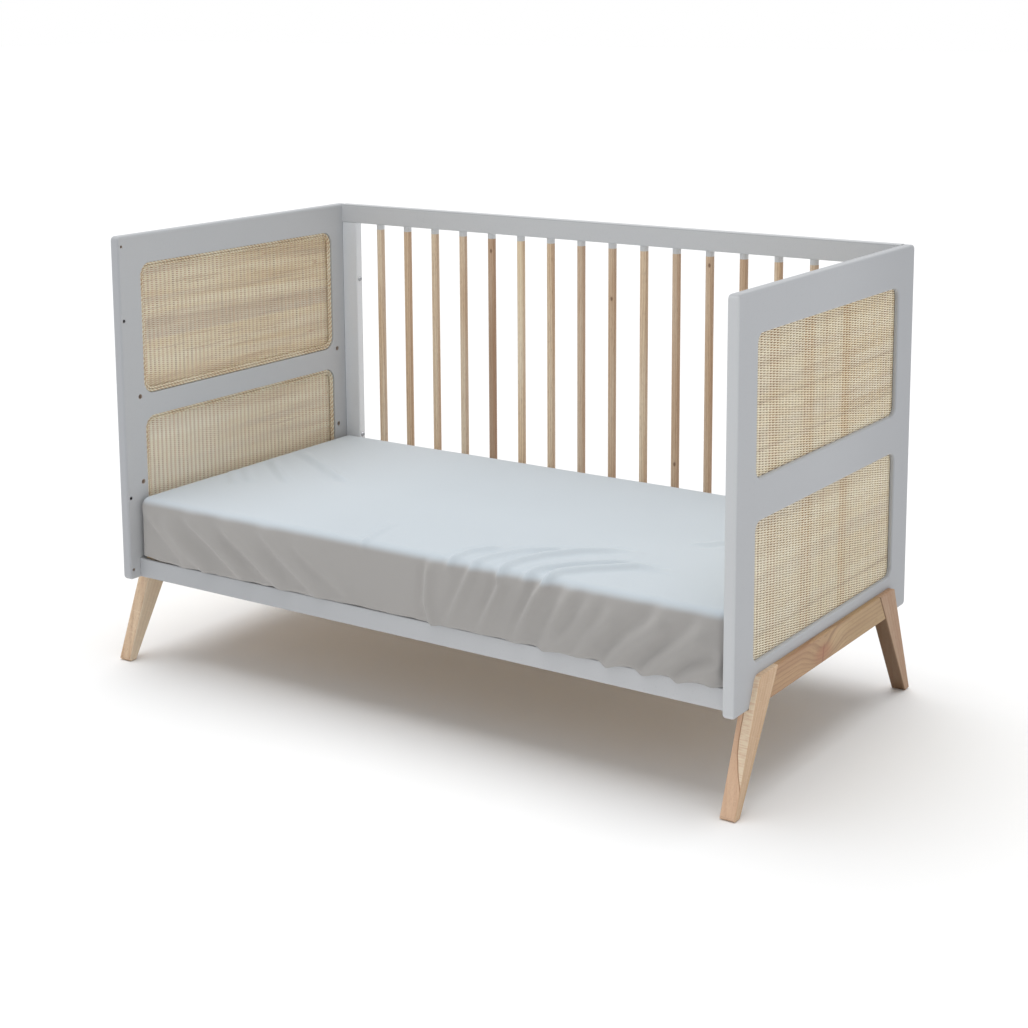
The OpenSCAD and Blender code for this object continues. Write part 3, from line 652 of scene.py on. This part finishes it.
def timber(finish, along, across, through, seed, ring, pale, warm, dark):
    """Plain-sawn wood with its growth rings ring metres apart: its colour, and the height
    of its grain."""
    sway = grit(finish, across * 5 + seed, through * 5, along * 1.1, detail=2)
    rings = ((across + through * 0.45 + sway * 0.034) / ring) % 1.0
    late_wood = fade(finish, rings, 0.45, 0.93) * fade(finish, rings, 1.0, 0.94)
    body = grit(finish, across * 30 + seed, through * 30, along * 2.4, detail=3)
    fibres = grit(finish, across * 700 + seed, through * 700, along * 16, detail=2)
    pits = grit(finish, across * 1500 + seed, through * 1500, along * 70, detail=0)
    open_pores = fade(finish, pits, 0.62, 0.74) * 0.5
    colour = layered(
        finish, pale,
        (warm, fade(finish, body, 0.36, 0.64)),
        (dark, late_wood * fade(finish, body, 0.25, 0.75, 0.18, 0.55)),
        (dark, fade(finish, fibres, 0.50, 0.78) * 0.35),
        (tone(118, 82, 54), open_pores * 0.6),
    )
    return colour, fibres * 0.4 - open_pores


bar_count, bar_pitch, first_bar = 16, 0.0792, -0.594
tip_low, tip_high = 0.2333, 0.8553
knot_rise, knot_height, knot_side = 0.61, 0.30, 0.003

bar_wood = Finish("bar_wood")
x, y, z = here(bar_wood)
bar = math.floor((x - first_bar) / bar_pitch + 0.5)
bar_tones = [
    0.24, 0.36, 0.24, 0.38, 1.00, 0.00, 0.22, 0.72, 0.66, 0.18, 0.72, 0.62, 0.72, 0.30, 0.48, 0.38
]
darker = bar_wood.node("ShaderNodeValToRGB", {
    "stops": [(k / bar_count, (t, t, t, 1)) for k, t in enumerate(bar_tones)],
    "blend_between": "CONSTANT"
}, {0: (bar + 0.5) / bar_count})
colour, grain = timber(
    bar_wood, z, x, y, bar * 3.71, 0.0058,
    tone(253, 236, 208), tone(240, 213, 178), tone(176, 130, 96)
)
# Painted shade: the bars are darker on their sides that face along the row.
painted_side_shade = abs(here(bar_wood, "Normal")[0])
above_knot = (z + bar * 0.173) % knot_rise - knot_height
off_knot = ((x - first_bar + bar_pitch / 2) % bar_pitch - bar_pitch / 2) - knot_side
knot = fade(bar_wood, (above_knot ** 2 * 0.30 + off_knot ** 2) ** 0.5, 0.0036, 0.0012)
colour = layered(
    bar_wood, colour,
    (tone(170, 128, 100), darker * 0.58),
    (tone(118, 74, 52), (darker > 0.9) * fade(bar_wood, z, 0.84, 0.60) * 0.24),
    (tone(250, 228, 190), (darker < 0.1) * fade(bar_wood, z, 0.55, 0.80) * 0.45),
    (tone(150, 108, 80), fade(bar_wood, painted_side_shade, 0.60, 0.97) * 0.40),
    (tone(112, 74, 48), knot * fade(bar_wood, darker, 0.45, 0.6) * 0.8),
)
painted = (z > tip_high) + (z < tip_low)
surface(
    bar_wood,
    Base_Color=mixed(bar_wood, colour, tone(212, 213, 214), painted),
    Roughness=fade(bar_wood, grain, -0.2, 0.5, 0.60, 0.48),
    Normal=relief(bar_wood, grain * (1 - painted), 0.00012, 0.6),
)
dress(bar_wood, *[f"back_dowel_{k}" for k in range(1, bar_count + 1)])


# ---- Steel and wood fixings ----
# Zinc-plated bolts, their threaded inserts, screws and base pins of turned steel, and
# fluted beech pins that line the rails up with the end panels.

zinc = Finish("plated_steel")
x, y, z = here(zinc)
turning = grit(zinc, x * 90, y * 90, z * 90, detail=3)
scratches = grit(zinc, x * 2200, y * 700, z * 700, detail=1)
surface(
    zinc,
    Base_Color=mixed(zinc, tone(150, 151, 153), tone(186, 187, 190), turning),
    Metallic=1.0,
    Roughness=fade(zinc, turning, 0.3, 0.7, 0.30, 0.44),
    Normal=relief(zinc, scratches, 0.00005, 0.4),
)
dress(zinc, "stile_bolts", "bolt_inserts", "leg_screws", "slat_screws", "base_pins")

pin_wood = Finish("pin_wood")
x, y, z = here(pin_wood)
colour, grain = timber(
    pin_wood, x, y, z, 4.0, 0.0045,
    tone(216, 186, 146), tone(200, 164, 122), tone(168, 126, 88)
)
surface(pin_wood, Base_Color=colour, Roughness=0.6, Normal=relief(pin_wood, grain, 0.0001, 0.5))
dress(pin_wood, "joint_pins")


# ---- Legs and crossbars ----
# Tapered legs and crossbars of oiled hardwood, the grain along each piece, mitred together
# and screwed up against the outside and underside of the end panels.

leg_slope, leg_inner_x, leg_thick = 0.492, 0.705, 0.030
lean = math.atan(leg_slope)

leg_wood = Finish("leg_wood")
x, y, z = here(leg_wood)
which_leg = (x > 0) * 5.3 + (y > 0) * 2.9
down_leg = z * math.cos(lean) - abs(y) * math.sin(lean)
across_leg = abs(y) * math.cos(lean) + z * math.sin(lean)
colour, grain = timber(
    leg_wood, down_leg, across_leg, x, which_leg, 0.0095,
    tone(226, 200, 170), tone(212, 180, 148), tone(176, 132, 98)
)
silver = grit(leg_wood, down_leg * 420, across_leg * 50, x * 50 + which_leg, detail=1)
facing_x, facing_y = here(leg_wood, "Normal")[:2]
right_leg, back_leg = x > 0, y > 0
right_side = fade(leg_wood, facing_x, 0.6, 0.8)
front_side = fade(leg_wood, facing_y, -0.35, -0.65) * right_leg
front_face, shaded_inner_face = front_side * (1 - back_leg), front_side * back_leg
figure_line = leg_inner_x + leg_thick * fade(leg_wood, z, 0.130, 0.026, 0.36, 1.06)
from_line = x - figure_line - grit(leg_wood, z * 30, 0, 0, detail=1) * 0.004 + 0.002
curly = fade(leg_wood, from_line, 0.0, 0.0016) * front_face
line_edge = fade(leg_wood, abs(from_line), 0.0016, 0.0004) * front_face
colour = layered(
    leg_wood, colour,
    (tone(240, 222, 196), fade(leg_wood, silver, 0.58, 0.74) * 0.30),
    (tone(226, 180, 148), front_face * 0.45),
    (tone(240, 222, 194), curly * fade(leg_wood, silver, 0.30, 0.62, 0.30, 0.85)),
    (tone(146, 96, 62), line_edge * 0.7),
    # Painted light on the inner side faces of the left legs, which stand in shade.
    (tone(252, 240, 216), right_side * (1 - right_leg) * 0.5),
    (tone(206, 168, 128), right_side * right_leg * (1 - back_leg) * 0.45),
    # Painted shade: the right back leg is darkened all over, and most on its front face under the bed.
    (tone(140, 96, 60), right_leg * back_leg * 0.64),
    (tone(92, 66, 40), shaded_inner_face * 0.7),
)
surface(
    leg_wood,
    Base_Color=colour,
    Roughness=fade(leg_wood, grain, -0.2, 0.5, 0.56, 0.44),
    Normal=relief(leg_wood, grain, 0.00014, 0.6),
)
dress(leg_wood, "leg_left_front", "leg_left_back", "leg_right_front", "leg_right_back")

bar_knot_y, bar_knot_z = -0.034, 0.200

crossbar_wood = Finish("crossbar_wood")
x, y, z = here(crossbar_wood)
knot_reach = (((y - bar_knot_y) * 0.42) ** 2 + (z - bar_knot_z) ** 2) ** 0.5
round_knot = fade(crossbar_wood, knot_reach, 0.046, 0.0)
bent = z + round_knot * 0.026
right_bar = x > 0
colour, grain = timber(
    crossbar_wood, y, bent, x, right_bar * 6.1, 0.0088,
    tone(196, 164, 122), tone(172, 138, 100), tone(116, 74, 44)
)
wander = grit(crossbar_wood, z * 60, 0, 0, detail=1)
off_split = abs(y - bar_knot_y - (z - bar_knot_z) * 0.25 - wander * 0.006 + 0.003)
split_line = fade(crossbar_wood, off_split, 0.0036, 0.0010)
split_line = split_line * fade(crossbar_wood, abs(z - 0.198), 0.022, 0.010)
colour = layered(
    crossbar_wood, colour,
    (tone(156, 124, 80), fade(crossbar_wood, y, 0.0, 0.12) * 0.45),
    (tone(190, 142, 106), fade(crossbar_wood, y, 0.0, -0.12) * 0.3),
    (tone(124, 74, 46), split_line * right_bar * 0.85),
    (tone(168, 104, 72), fade(crossbar_wood, knot_reach, 0.024, 0.004) * right_bar * 0.6),
)
surface(
    crossbar_wood,
    Base_Color=colour,
    Roughness=fade(crossbar_wood, grain, -0.2, 0.5, 0.56, 0.44),
    Normal=relief(crossbar_wood, grain, 0.00014, 0.6),
)
dress(crossbar_wood, "crossbar_left", "crossbar_right")


# ---- Mattress base ----
# A lacquered rail at the front and back, joined by end rails and a middle beam of plain
# pine, with ten pine slats screwed down across it. It hangs on steel pins in the panels.

slat_count, slat_pitch = 10, 0.144

# The panels' lacquer again, darkened towards the left end with painted shade.
base_paint = satin_lacquer(
    "base_lacquer", (201, 203, 206), (207, 208, 210), (194, 196, 199), (194, 196, 199),
    painted_shade_share=1.0, axis=0, start=0.65, end=-0.65
)
dress(base_paint, "base_front_rail", "base_back_rail")

slat_wood = Finish("slat_wood")
x, y, z = here(slat_wood)
slat = math.floor(x / slat_pitch)
colour, grain = timber(
    slat_wood, y, x, z, slat * 2.3, 0.0065,
    tone(226, 198, 156), tone(212, 180, 136), tone(182, 142, 98)
)
surface(
    slat_wood,
    Base_Color=colour,
    Roughness=fade(slat_wood, grain, -0.2, 0.5, 0.66, 0.54),
    Normal=relief(slat_wood, grain, 0.00014, 0.6),
)
dress(
    slat_wood, "base_end_rail_left", "base_end_rail_right", "base_centre_beam",
    *[f"base_slat_{k}" for k in range(1, slat_count + 1)]
)


# ---- Mattress ----
# A firm foam block in a quilted white cover, sewn in lozenges through a thin wadding. The
# sheet hides it but for its underside, which shows between the slats.

def block_skin(low, high, step, bottom):
    """A lattice on a block's sides and top, and its bottom where asked: points and quads."""
    size = np.array(high) - np.array(low)
    cells = np.maximum(2, np.round(size / step)).astype(int)
    quads = []
    for axis in range(3):
        first, second = [a for a in range(3) if a != axis]
        for at in (0, cells[axis]):
            if axis == 2 and at == 0 and not bottom:
                continue
            a, b = np.meshgrid(np.arange(cells[first]), np.arange(cells[second]), indexing="ij")
            corners = []
            for da, db in ((0, 0), (1, 0), (1, 1), (0, 1)):
                corner = np.empty(a.shape + (3,), int)
                corner[..., axis], corner[..., first], corner[..., second] = at, a + da, b + db
                corners.append(corner.reshape(-1, 3))
            quad = np.stack(corners, 1)
            facing_out = (at > 0) == (axis != 1)
            quads.append(quad if facing_out else quad[:, ::-1])
    lattice, faces = np.unique(np.concatenate(quads).reshape(-1, 3), axis=0, return_inverse=True)
    return np.array(low) + lattice / cells * size, faces.reshape(-1, 4)


def rounded(points, low, high, radius):
    """Points on a block's skin moved on to its rounded edges, with their directions out."""
    core = np.clip(points, np.array(low) + radius, np.array(high) - radius)
    out = points - core
    out /= np.maximum(np.linalg.norm(out, axis=1, keepdims=True), 1e-9)
    return core + out * radius, out


def swollen(points, faces, pressure, farthest, moments=20):
    """Points of a closed cover as air inside it moves them over so many moments, each no
    farther than farthest."""
    mesh = bpy.data.meshes.new("cover_trial")
    mesh.from_pydata(points.tolist(), [], faces)
    trial = bpy.data.objects.new("cover_trial", mesh)
    bpy.context.scene.collection.objects.link(trial)
    cloth = trial.modifiers.new("inside_air", "CLOTH")
    cloth.settings.quality = 3
    cloth.settings.use_pressure = True
    cloth.settings.uniform_pressure_force = pressure
    cloth.settings.effector_weights.gravity = 0
    cloth.point_cache.frame_start, cloth.point_cache.frame_end = 1, moments
    for moment in range(1, moments + 1):
        bpy.context.scene.frame_set(moment)
    evaluated = trial.evaluated_get(bpy.context.evaluated_depsgraph_get())
    moved = np.empty(points.size)
    evaluated.data.vertices.foreach_get("co", moved)
    bpy.context.scene.frame_set(1)
    bpy.data.objects.remove(trial)
    bpy.data.meshes.remove(mesh)
    shift = moved.reshape(-1, 3) - points
    reach = np.linalg.norm(shift, axis=1, keepdims=True)
    return points + shift * np.minimum(1, farthest / np.maximum(reach, 1e-9))


def ripple(place, pitch):
    """A zigzag along place: 0 in the middle of each pitch and 0.5 at its ends."""
    return abs((place / pitch) % 1 - 0.5)


quilt_pitch, thread_pitch, stitch_pitch = 0.075, 0.0011, 0.004
foam_radius, swell_room, cover_pressure, cover_cell = 0.018, 0.0040, 0.22, 0.0075
seam_depth, seam_share, cover_slack = 0.0022, 0.07, 0.0008

ticking = Finish("quilted_ticking")
x, y, z = here(ticking)
threads = ripple(x, thread_pitch) + ripple(y, thread_pitch)
seam = ripple(x + y, quilt_pitch) & ripple(x - y, quilt_pitch)
stitch = fade(ticking, seam, 0.018, 0.006) * (((x / stitch_pitch) % 1) > 0.35)
wear = grit(ticking, x, y, z, scale=24)
cloth_tone = mixed(ticking, tone(226, 227, 226), tone(214, 216, 217), wear)
surface(
    ticking,
    Base_Color=mixed(ticking, cloth_tone, tone(190, 194, 198), stitch * 0.8),
    Roughness=0.92,
    Normal=relief(ticking, threads * 0.3 - stitch, 0.0003, 0.5),
    Sheen_Weight=0.2,
)

low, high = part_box("mattress")
low, high = np.array(low) + swell_room, np.array(high) - swell_room
skin, faces = block_skin(low, high, cover_cell, bottom=True)
skin, out = rounded(skin, low, high, foam_radius)
skin = swollen(skin, faces.tolist(), cover_pressure, swell_room)
quilting = np.minimum(
    ripple(skin[:, 0] + skin[:, 1], quilt_pitch), ripple(skin[:, 0] - skin[:, 1], quilt_pitch)
)
puff = -seam_depth * np.exp(-(quilting / seam_share) ** 2) * np.abs(out[:, 2]) - cover_slack
skin = skin + out * puff[:, None]
mattress = piece("quilted_mattress", skin, faces.tolist(), ticking)
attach(mattress, "mattress")
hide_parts("mattress")


# ---- Fitted sheet ----
# One piece of fine cotton jersey pulled over the mattress, its hem gathered on elastic
# below the mattress. It drags in slanting folds at the front and creases near the edge.

rib_pitch, course_pitch = 0.0013, 0.0010
side_shade_ends, top_light_starts = 0.338, 0.353
sheet_radius, sheet_thickness, sheet_ease, sheet_cell = 0.020, 0.0012, 0.0012, 0.006

cotton = Finish("cotton_jersey")
x, y, z = here(cotton)
courses = ripple(y, course_pitch) * 0.5 + ripple(z, course_pitch) * 0.5
ribs = ripple(x, rib_pitch) * 0.8 + courses
slub = grit(cotton, x, y, z, scale=650, detail=2)
wash = grit(cotton, x, y, z, scale=5, detail=3)
# Painted light and shade: the top is painted bright, paler still towards the left end where the panel
# shades it, and the sides are painted in shade, blended across the rounded edge.
bright = mixed(cotton, tone(193, 202, 209), tone(197, 206, 213), wash)
bright = mixed(cotton, bright, tone(211, 219, 226), fade(cotton, x, -0.15, -0.62) * 0.75)
shaded = mixed(cotton, tone(169, 166, 163), tone(175, 172, 169), wash)
jersey = layered(
    cotton, shaded,
    (bright, fade(cotton, z, side_shade_ends, top_light_starts)),
    (tone(176, 180, 184), fade(cotton, slub, 0.55, 0.8) * 0.25),
)
surface(
    cotton,
    Base_Color=jersey,
    Roughness=0.94,
    Normal=relief(cotton, ribs * 0.5 + slub, 0.00022, 0.45),
    Sheen_Weight=0.25,
    Sheen_Roughness=0.5,
)

sheet_low, sheet_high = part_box("fitted_sheet")
hem_height = sheet_low.z
low = np.array(sheet_low) + [sheet_ease, 0, 0]
high = np.array(sheet_high) - [sheet_ease, sheet_ease, 0.0005]
top = high[2]
flat_points, faces = block_skin(low, high, sheet_cell, bottom=False)
open_low = low - [0, 0, 0.1]  # so far down that the hem stays square
skin, out = rounded(flat_points, open_low, high, sheet_radius)

# Folds drawn on the sheet laid open along its front edge: x in mm, then mm back from the
# edge on the top, or below it on the front. Each has its height and half-width in mm.
folds = [
    (9.7, 15, [(-690, -10), (-660, -28), (-623, -64), (-580, -102), (-540, -140)]),
    (10.4, 15, [(-640, -22), (-616, -38), (-558, -90), (-521, -113), (-480, -145)]),
    (11.0, 16, [(-580, -2), (-556, -17), (-493, -55), (-421, -104), (-380, -140)]),
    (9.7, 16, [(-485, -4), (-460, -18), (-399, -56), (-319, -111), (-280, -145)]),
    (8.6, 16, [(-375, 0), (-352, -13), (-288, -62), (-224, -106), (-180, -145)]),
    (5.6, 15, [(-285, -14), (-257, -30), (-199, -63), (-151, -90), (-110, -120)]),
    (9.5, 10, [(72, 4), (67, -21), (61, -87), (75, -131), (80, -150)]),
    (7.8, 10, [
        (310, 166), (248, 154), (198, 107), (169, 36), (165, -10),
        (158, -24), (130, -82), (112, -117), (95, -150)
    ]),
    (10.4, 10, [
        (410, 222), (354, 211), (296, 162), (253, 105), (230, 46),
        (228, -10), (234, -23), (207, -76), (184, -118), (170, -150)
    ]),
    (11.6, 10, [
        (520, 150), (438, 141), (370, 78), (334, 33), (326, -10),
        (312, -28), (286, -77), (264, -119), (250, -150)
    ]),
    (9.2, 9, [(440, 172), (378, 134), (326, 86), (290, 34), (283, -15), (278, -40)]),
    (7.8, 9, [(158, 119), (119, 49), (114, -7), (110, -30)]),
    (11.0, 15, [(392, 4), (385, -10), (376, -28), (351, -73), (329, -121), (318, -150)]),
    (9.4, 15, [(440, 0), (435, -15), (426, -33), (393, -80), (355, -120), (330, -150)]),
    (8.4, 16, [(480, -8), (475, -20), (463, -48), (430, -84), (401, -126), (385, -150)]),
    (14.3, 16, [(590, -12), (570, -25), (556, -46), (512, -79), (476, -115), (463, -130), (450, -155)]),
    (13.2, 16, [(670, -20), (650, -35), (631, -53), (592, -85), (552, -118), (540, -128), (525, -155)]),
    (10.6, 15, [(700, -60), (685, -92), (639, -111), (612, -126), (590, -150)]),
    (8.2, 11, [(-696, 500), (-674, 485), (-582, 437), (-455, 357), (-380, 320)]),
    (6.4, 10, [(-690, 400), (-666, 383), (-554, 293), (-500, 250)]),
    (4.2, 9, [(-696, 290), (-684, 269), (-624, 209), (-590, 180)]),
    (4.4, 9, [(-690, 320), (-670, 298), (-607, 240), (-570, 210)]),
    (4.7, 8, [(-125, 130), (-115, 95), (-96, -2), (-90, -20)]),
    (4.1, 9, [(440, 320), (475, 340), (492, 366), (560, 390)]),
]


def fold_height(across, back, height, half_width, line):
    """How far one fold lifts the cloth at each point: a ridge with a dip beside it, both
    fading out at the fold's ends."""
    line = np.array(line, float)
    runs = np.linalg.norm(np.diff(line, axis=0), axis=1)
    before = np.concatenate([[0], np.cumsum(runs)])
    nearest = np.full(len(across), 1e9)
    side, share = np.zeros(len(across)), np.zeros(len(across))
    for k, run in enumerate(runs):
        step = (line[k + 1] - line[k]) / run
        off = np.stack([across - line[k, 0], back - line[k, 1]], 1)
        t = np.clip(off @ step, 0, run)
        gap = np.linalg.norm(off - t[:, None] * step, axis=1)
        closer = gap < nearest
        nearest[closer] = gap[closer]
        side[closer] = off[closer, 0] * step[1] - off[closer, 1] * step[0]
        share[closer] = (before[k] + t[closer]) / before[-1]
    end_share, dip_place, dip_share = 0.22, 1.5, 0.45
    ease = np.clip(np.minimum(share, 1 - share) / end_share, 0, 1)
    ease = ease * ease * (3 - 2 * ease)
    away = nearest * np.sign(side)
    ridge = np.exp(-(away / half_width) ** 2)
    dip = np.exp(-((away - dip_place * half_width) / half_width) ** 2)
    return height * ease * (ridge - dip_share * dip)


# How far each point of the cloth is lifted, in mm like the folds.
across, depth, height = (skin * 1000).T
front_mm, top_mm, hem_mm = low[1] * 1000, top * 1000, hem_height * 1000
on_top = out[:, 2] > 0.7071
on_front = (out[:, 1] < -0.5) & ~on_top
on_back = (out[:, 1] > 0.5) & ~on_top
in_view = on_top | on_front
rounding = 6
back = np.where(on_top, depth - front_mm - rounding, height - top_mm + rounding)

# The cloth stands a little off the foam on the right half of the front, so its folds sink.
slack = 3.4
loose = np.clip((across - 30) / 90, 0, 1) * np.clip((704 - across) / 40, 0, 1)
lift = np.where(on_front, slack * loose * np.clip((4 - back) / 34, 0, 1), 0)
for ridge, half_width, line in folds:
    lift[in_view] += fold_height(across[in_view], back[in_view], ridge, half_width, line)
lift *= np.where(on_top & (across < -600), np.clip((across + 700) / 45, 0.12, 1), 1)

# Sixteen faint folds run down the back and lean in towards its middle.
rng = np.random.default_rng(7)
for _ in range(16):
    start = rng.uniform(-660, 660)
    slant = 60 * np.sign(start) + rng.uniform(-25, 25)
    line = [
        (start, 2), (start - slant * 0.4, -40), (start - slant, -90), (start - slant * 1.5, -150)
    ]
    ridge = rng.uniform(0.6, 1.2)
    lift[on_back] += fold_height(across[on_back], back[on_back], ridge, 11, line)

# It is nowhere quite flat, and small gathers stand close together above the elastic.
sway = (
    0.55 * np.sin(across / 61 + 1.1 * np.sin(depth / 83))
    + 0.40 * np.sin(depth / 47 + 1.3 * np.sin(across / 97))
    + 0.35 * np.sin(height / 23 + across / 53)
)
lift += sway * np.where(in_view, 0.6, 0.3)
gather_reach = 34
near_hem = np.clip((hem_mm + gather_reach - height) / gather_reach, 0, 1)
gathers = np.sin(across / 7.5 + 2 * np.sin(across / 41)) + 0.7 * np.sin(across / 12.7)
lift += gathers * near_hem ** 2 * np.where(on_front, 0.55, 0.25)

# The end panels, the back rails and the front rail stop it where they stand close.
walled = (np.abs(out[:, 0]) > 0.5) | on_back
lift = np.where(walled, np.clip(lift, -2.0, 0.9), np.clip(lift, -2.4, 14.0))
at_rail = on_front & (height < hem_mm + 12)
lift = np.where(at_rail, np.maximum(lift, -0.7), lift)
skin = skin + out * lift[:, None] / 1000

# The hem rides up at the left corner and sags in small pouches where a fold runs out.
x_mm = skin[:, 0] * 1000
hem_rise = 1.0 + 5.0 * np.exp(-((x_mm + 690) / 48) ** 2)
hem_rise += 1.3 * np.sin(x_mm / 29 + 1.5 * np.sin(x_mm / 77)) * np.exp(-((x_mm + 330) / 330) ** 2)
hem_rise += 0.5 * np.sin(x_mm / 11)
pouches = (
    (78, 12, 3.2), (-575, 10, 2.0), (-470, 12, 2.2), (-350, 12, 2.0), (264, 12, 1.6),
    (330, 10, 2.4), (380, 13, 2.4), (462, 14, 5.6), (536, 17, 6.2), (604, 15, 5.6), (668, 10, 3.0)
)
for middle, reach, sag in pouches:
    hem_rise -= sag * np.exp(-((x_mm - middle) / reach) ** 2)
down = np.clip((top - skin[:, 2]) / (top - hem_height), 0, 1)
lowest_sag = -5.5
moved = np.where(out[:, 1] < -0.5, np.maximum(hem_rise, lowest_sag), 1.0) / 1000 * down ** 3
skin[:, 2] += np.where(on_top, 0, moved)

sheet = piece("jersey_sheet", skin, faces.tolist(), cotton)
bpy.context.view_layer.objects.active = sheet
cloth_edge = sheet.modifiers.new("thickness", "SOLIDIFY")
cloth_edge.thickness = sheet_thickness
cloth_edge.offset = -1
evaluated = sheet.evaluated_get(bpy.context.evaluated_depsgraph_get())
thick = bpy.data.meshes.new_from_object(evaluated)
sheet.modifiers.clear()
sheet.data = thick
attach(sheet, "mattress")
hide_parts("fitted_sheet")
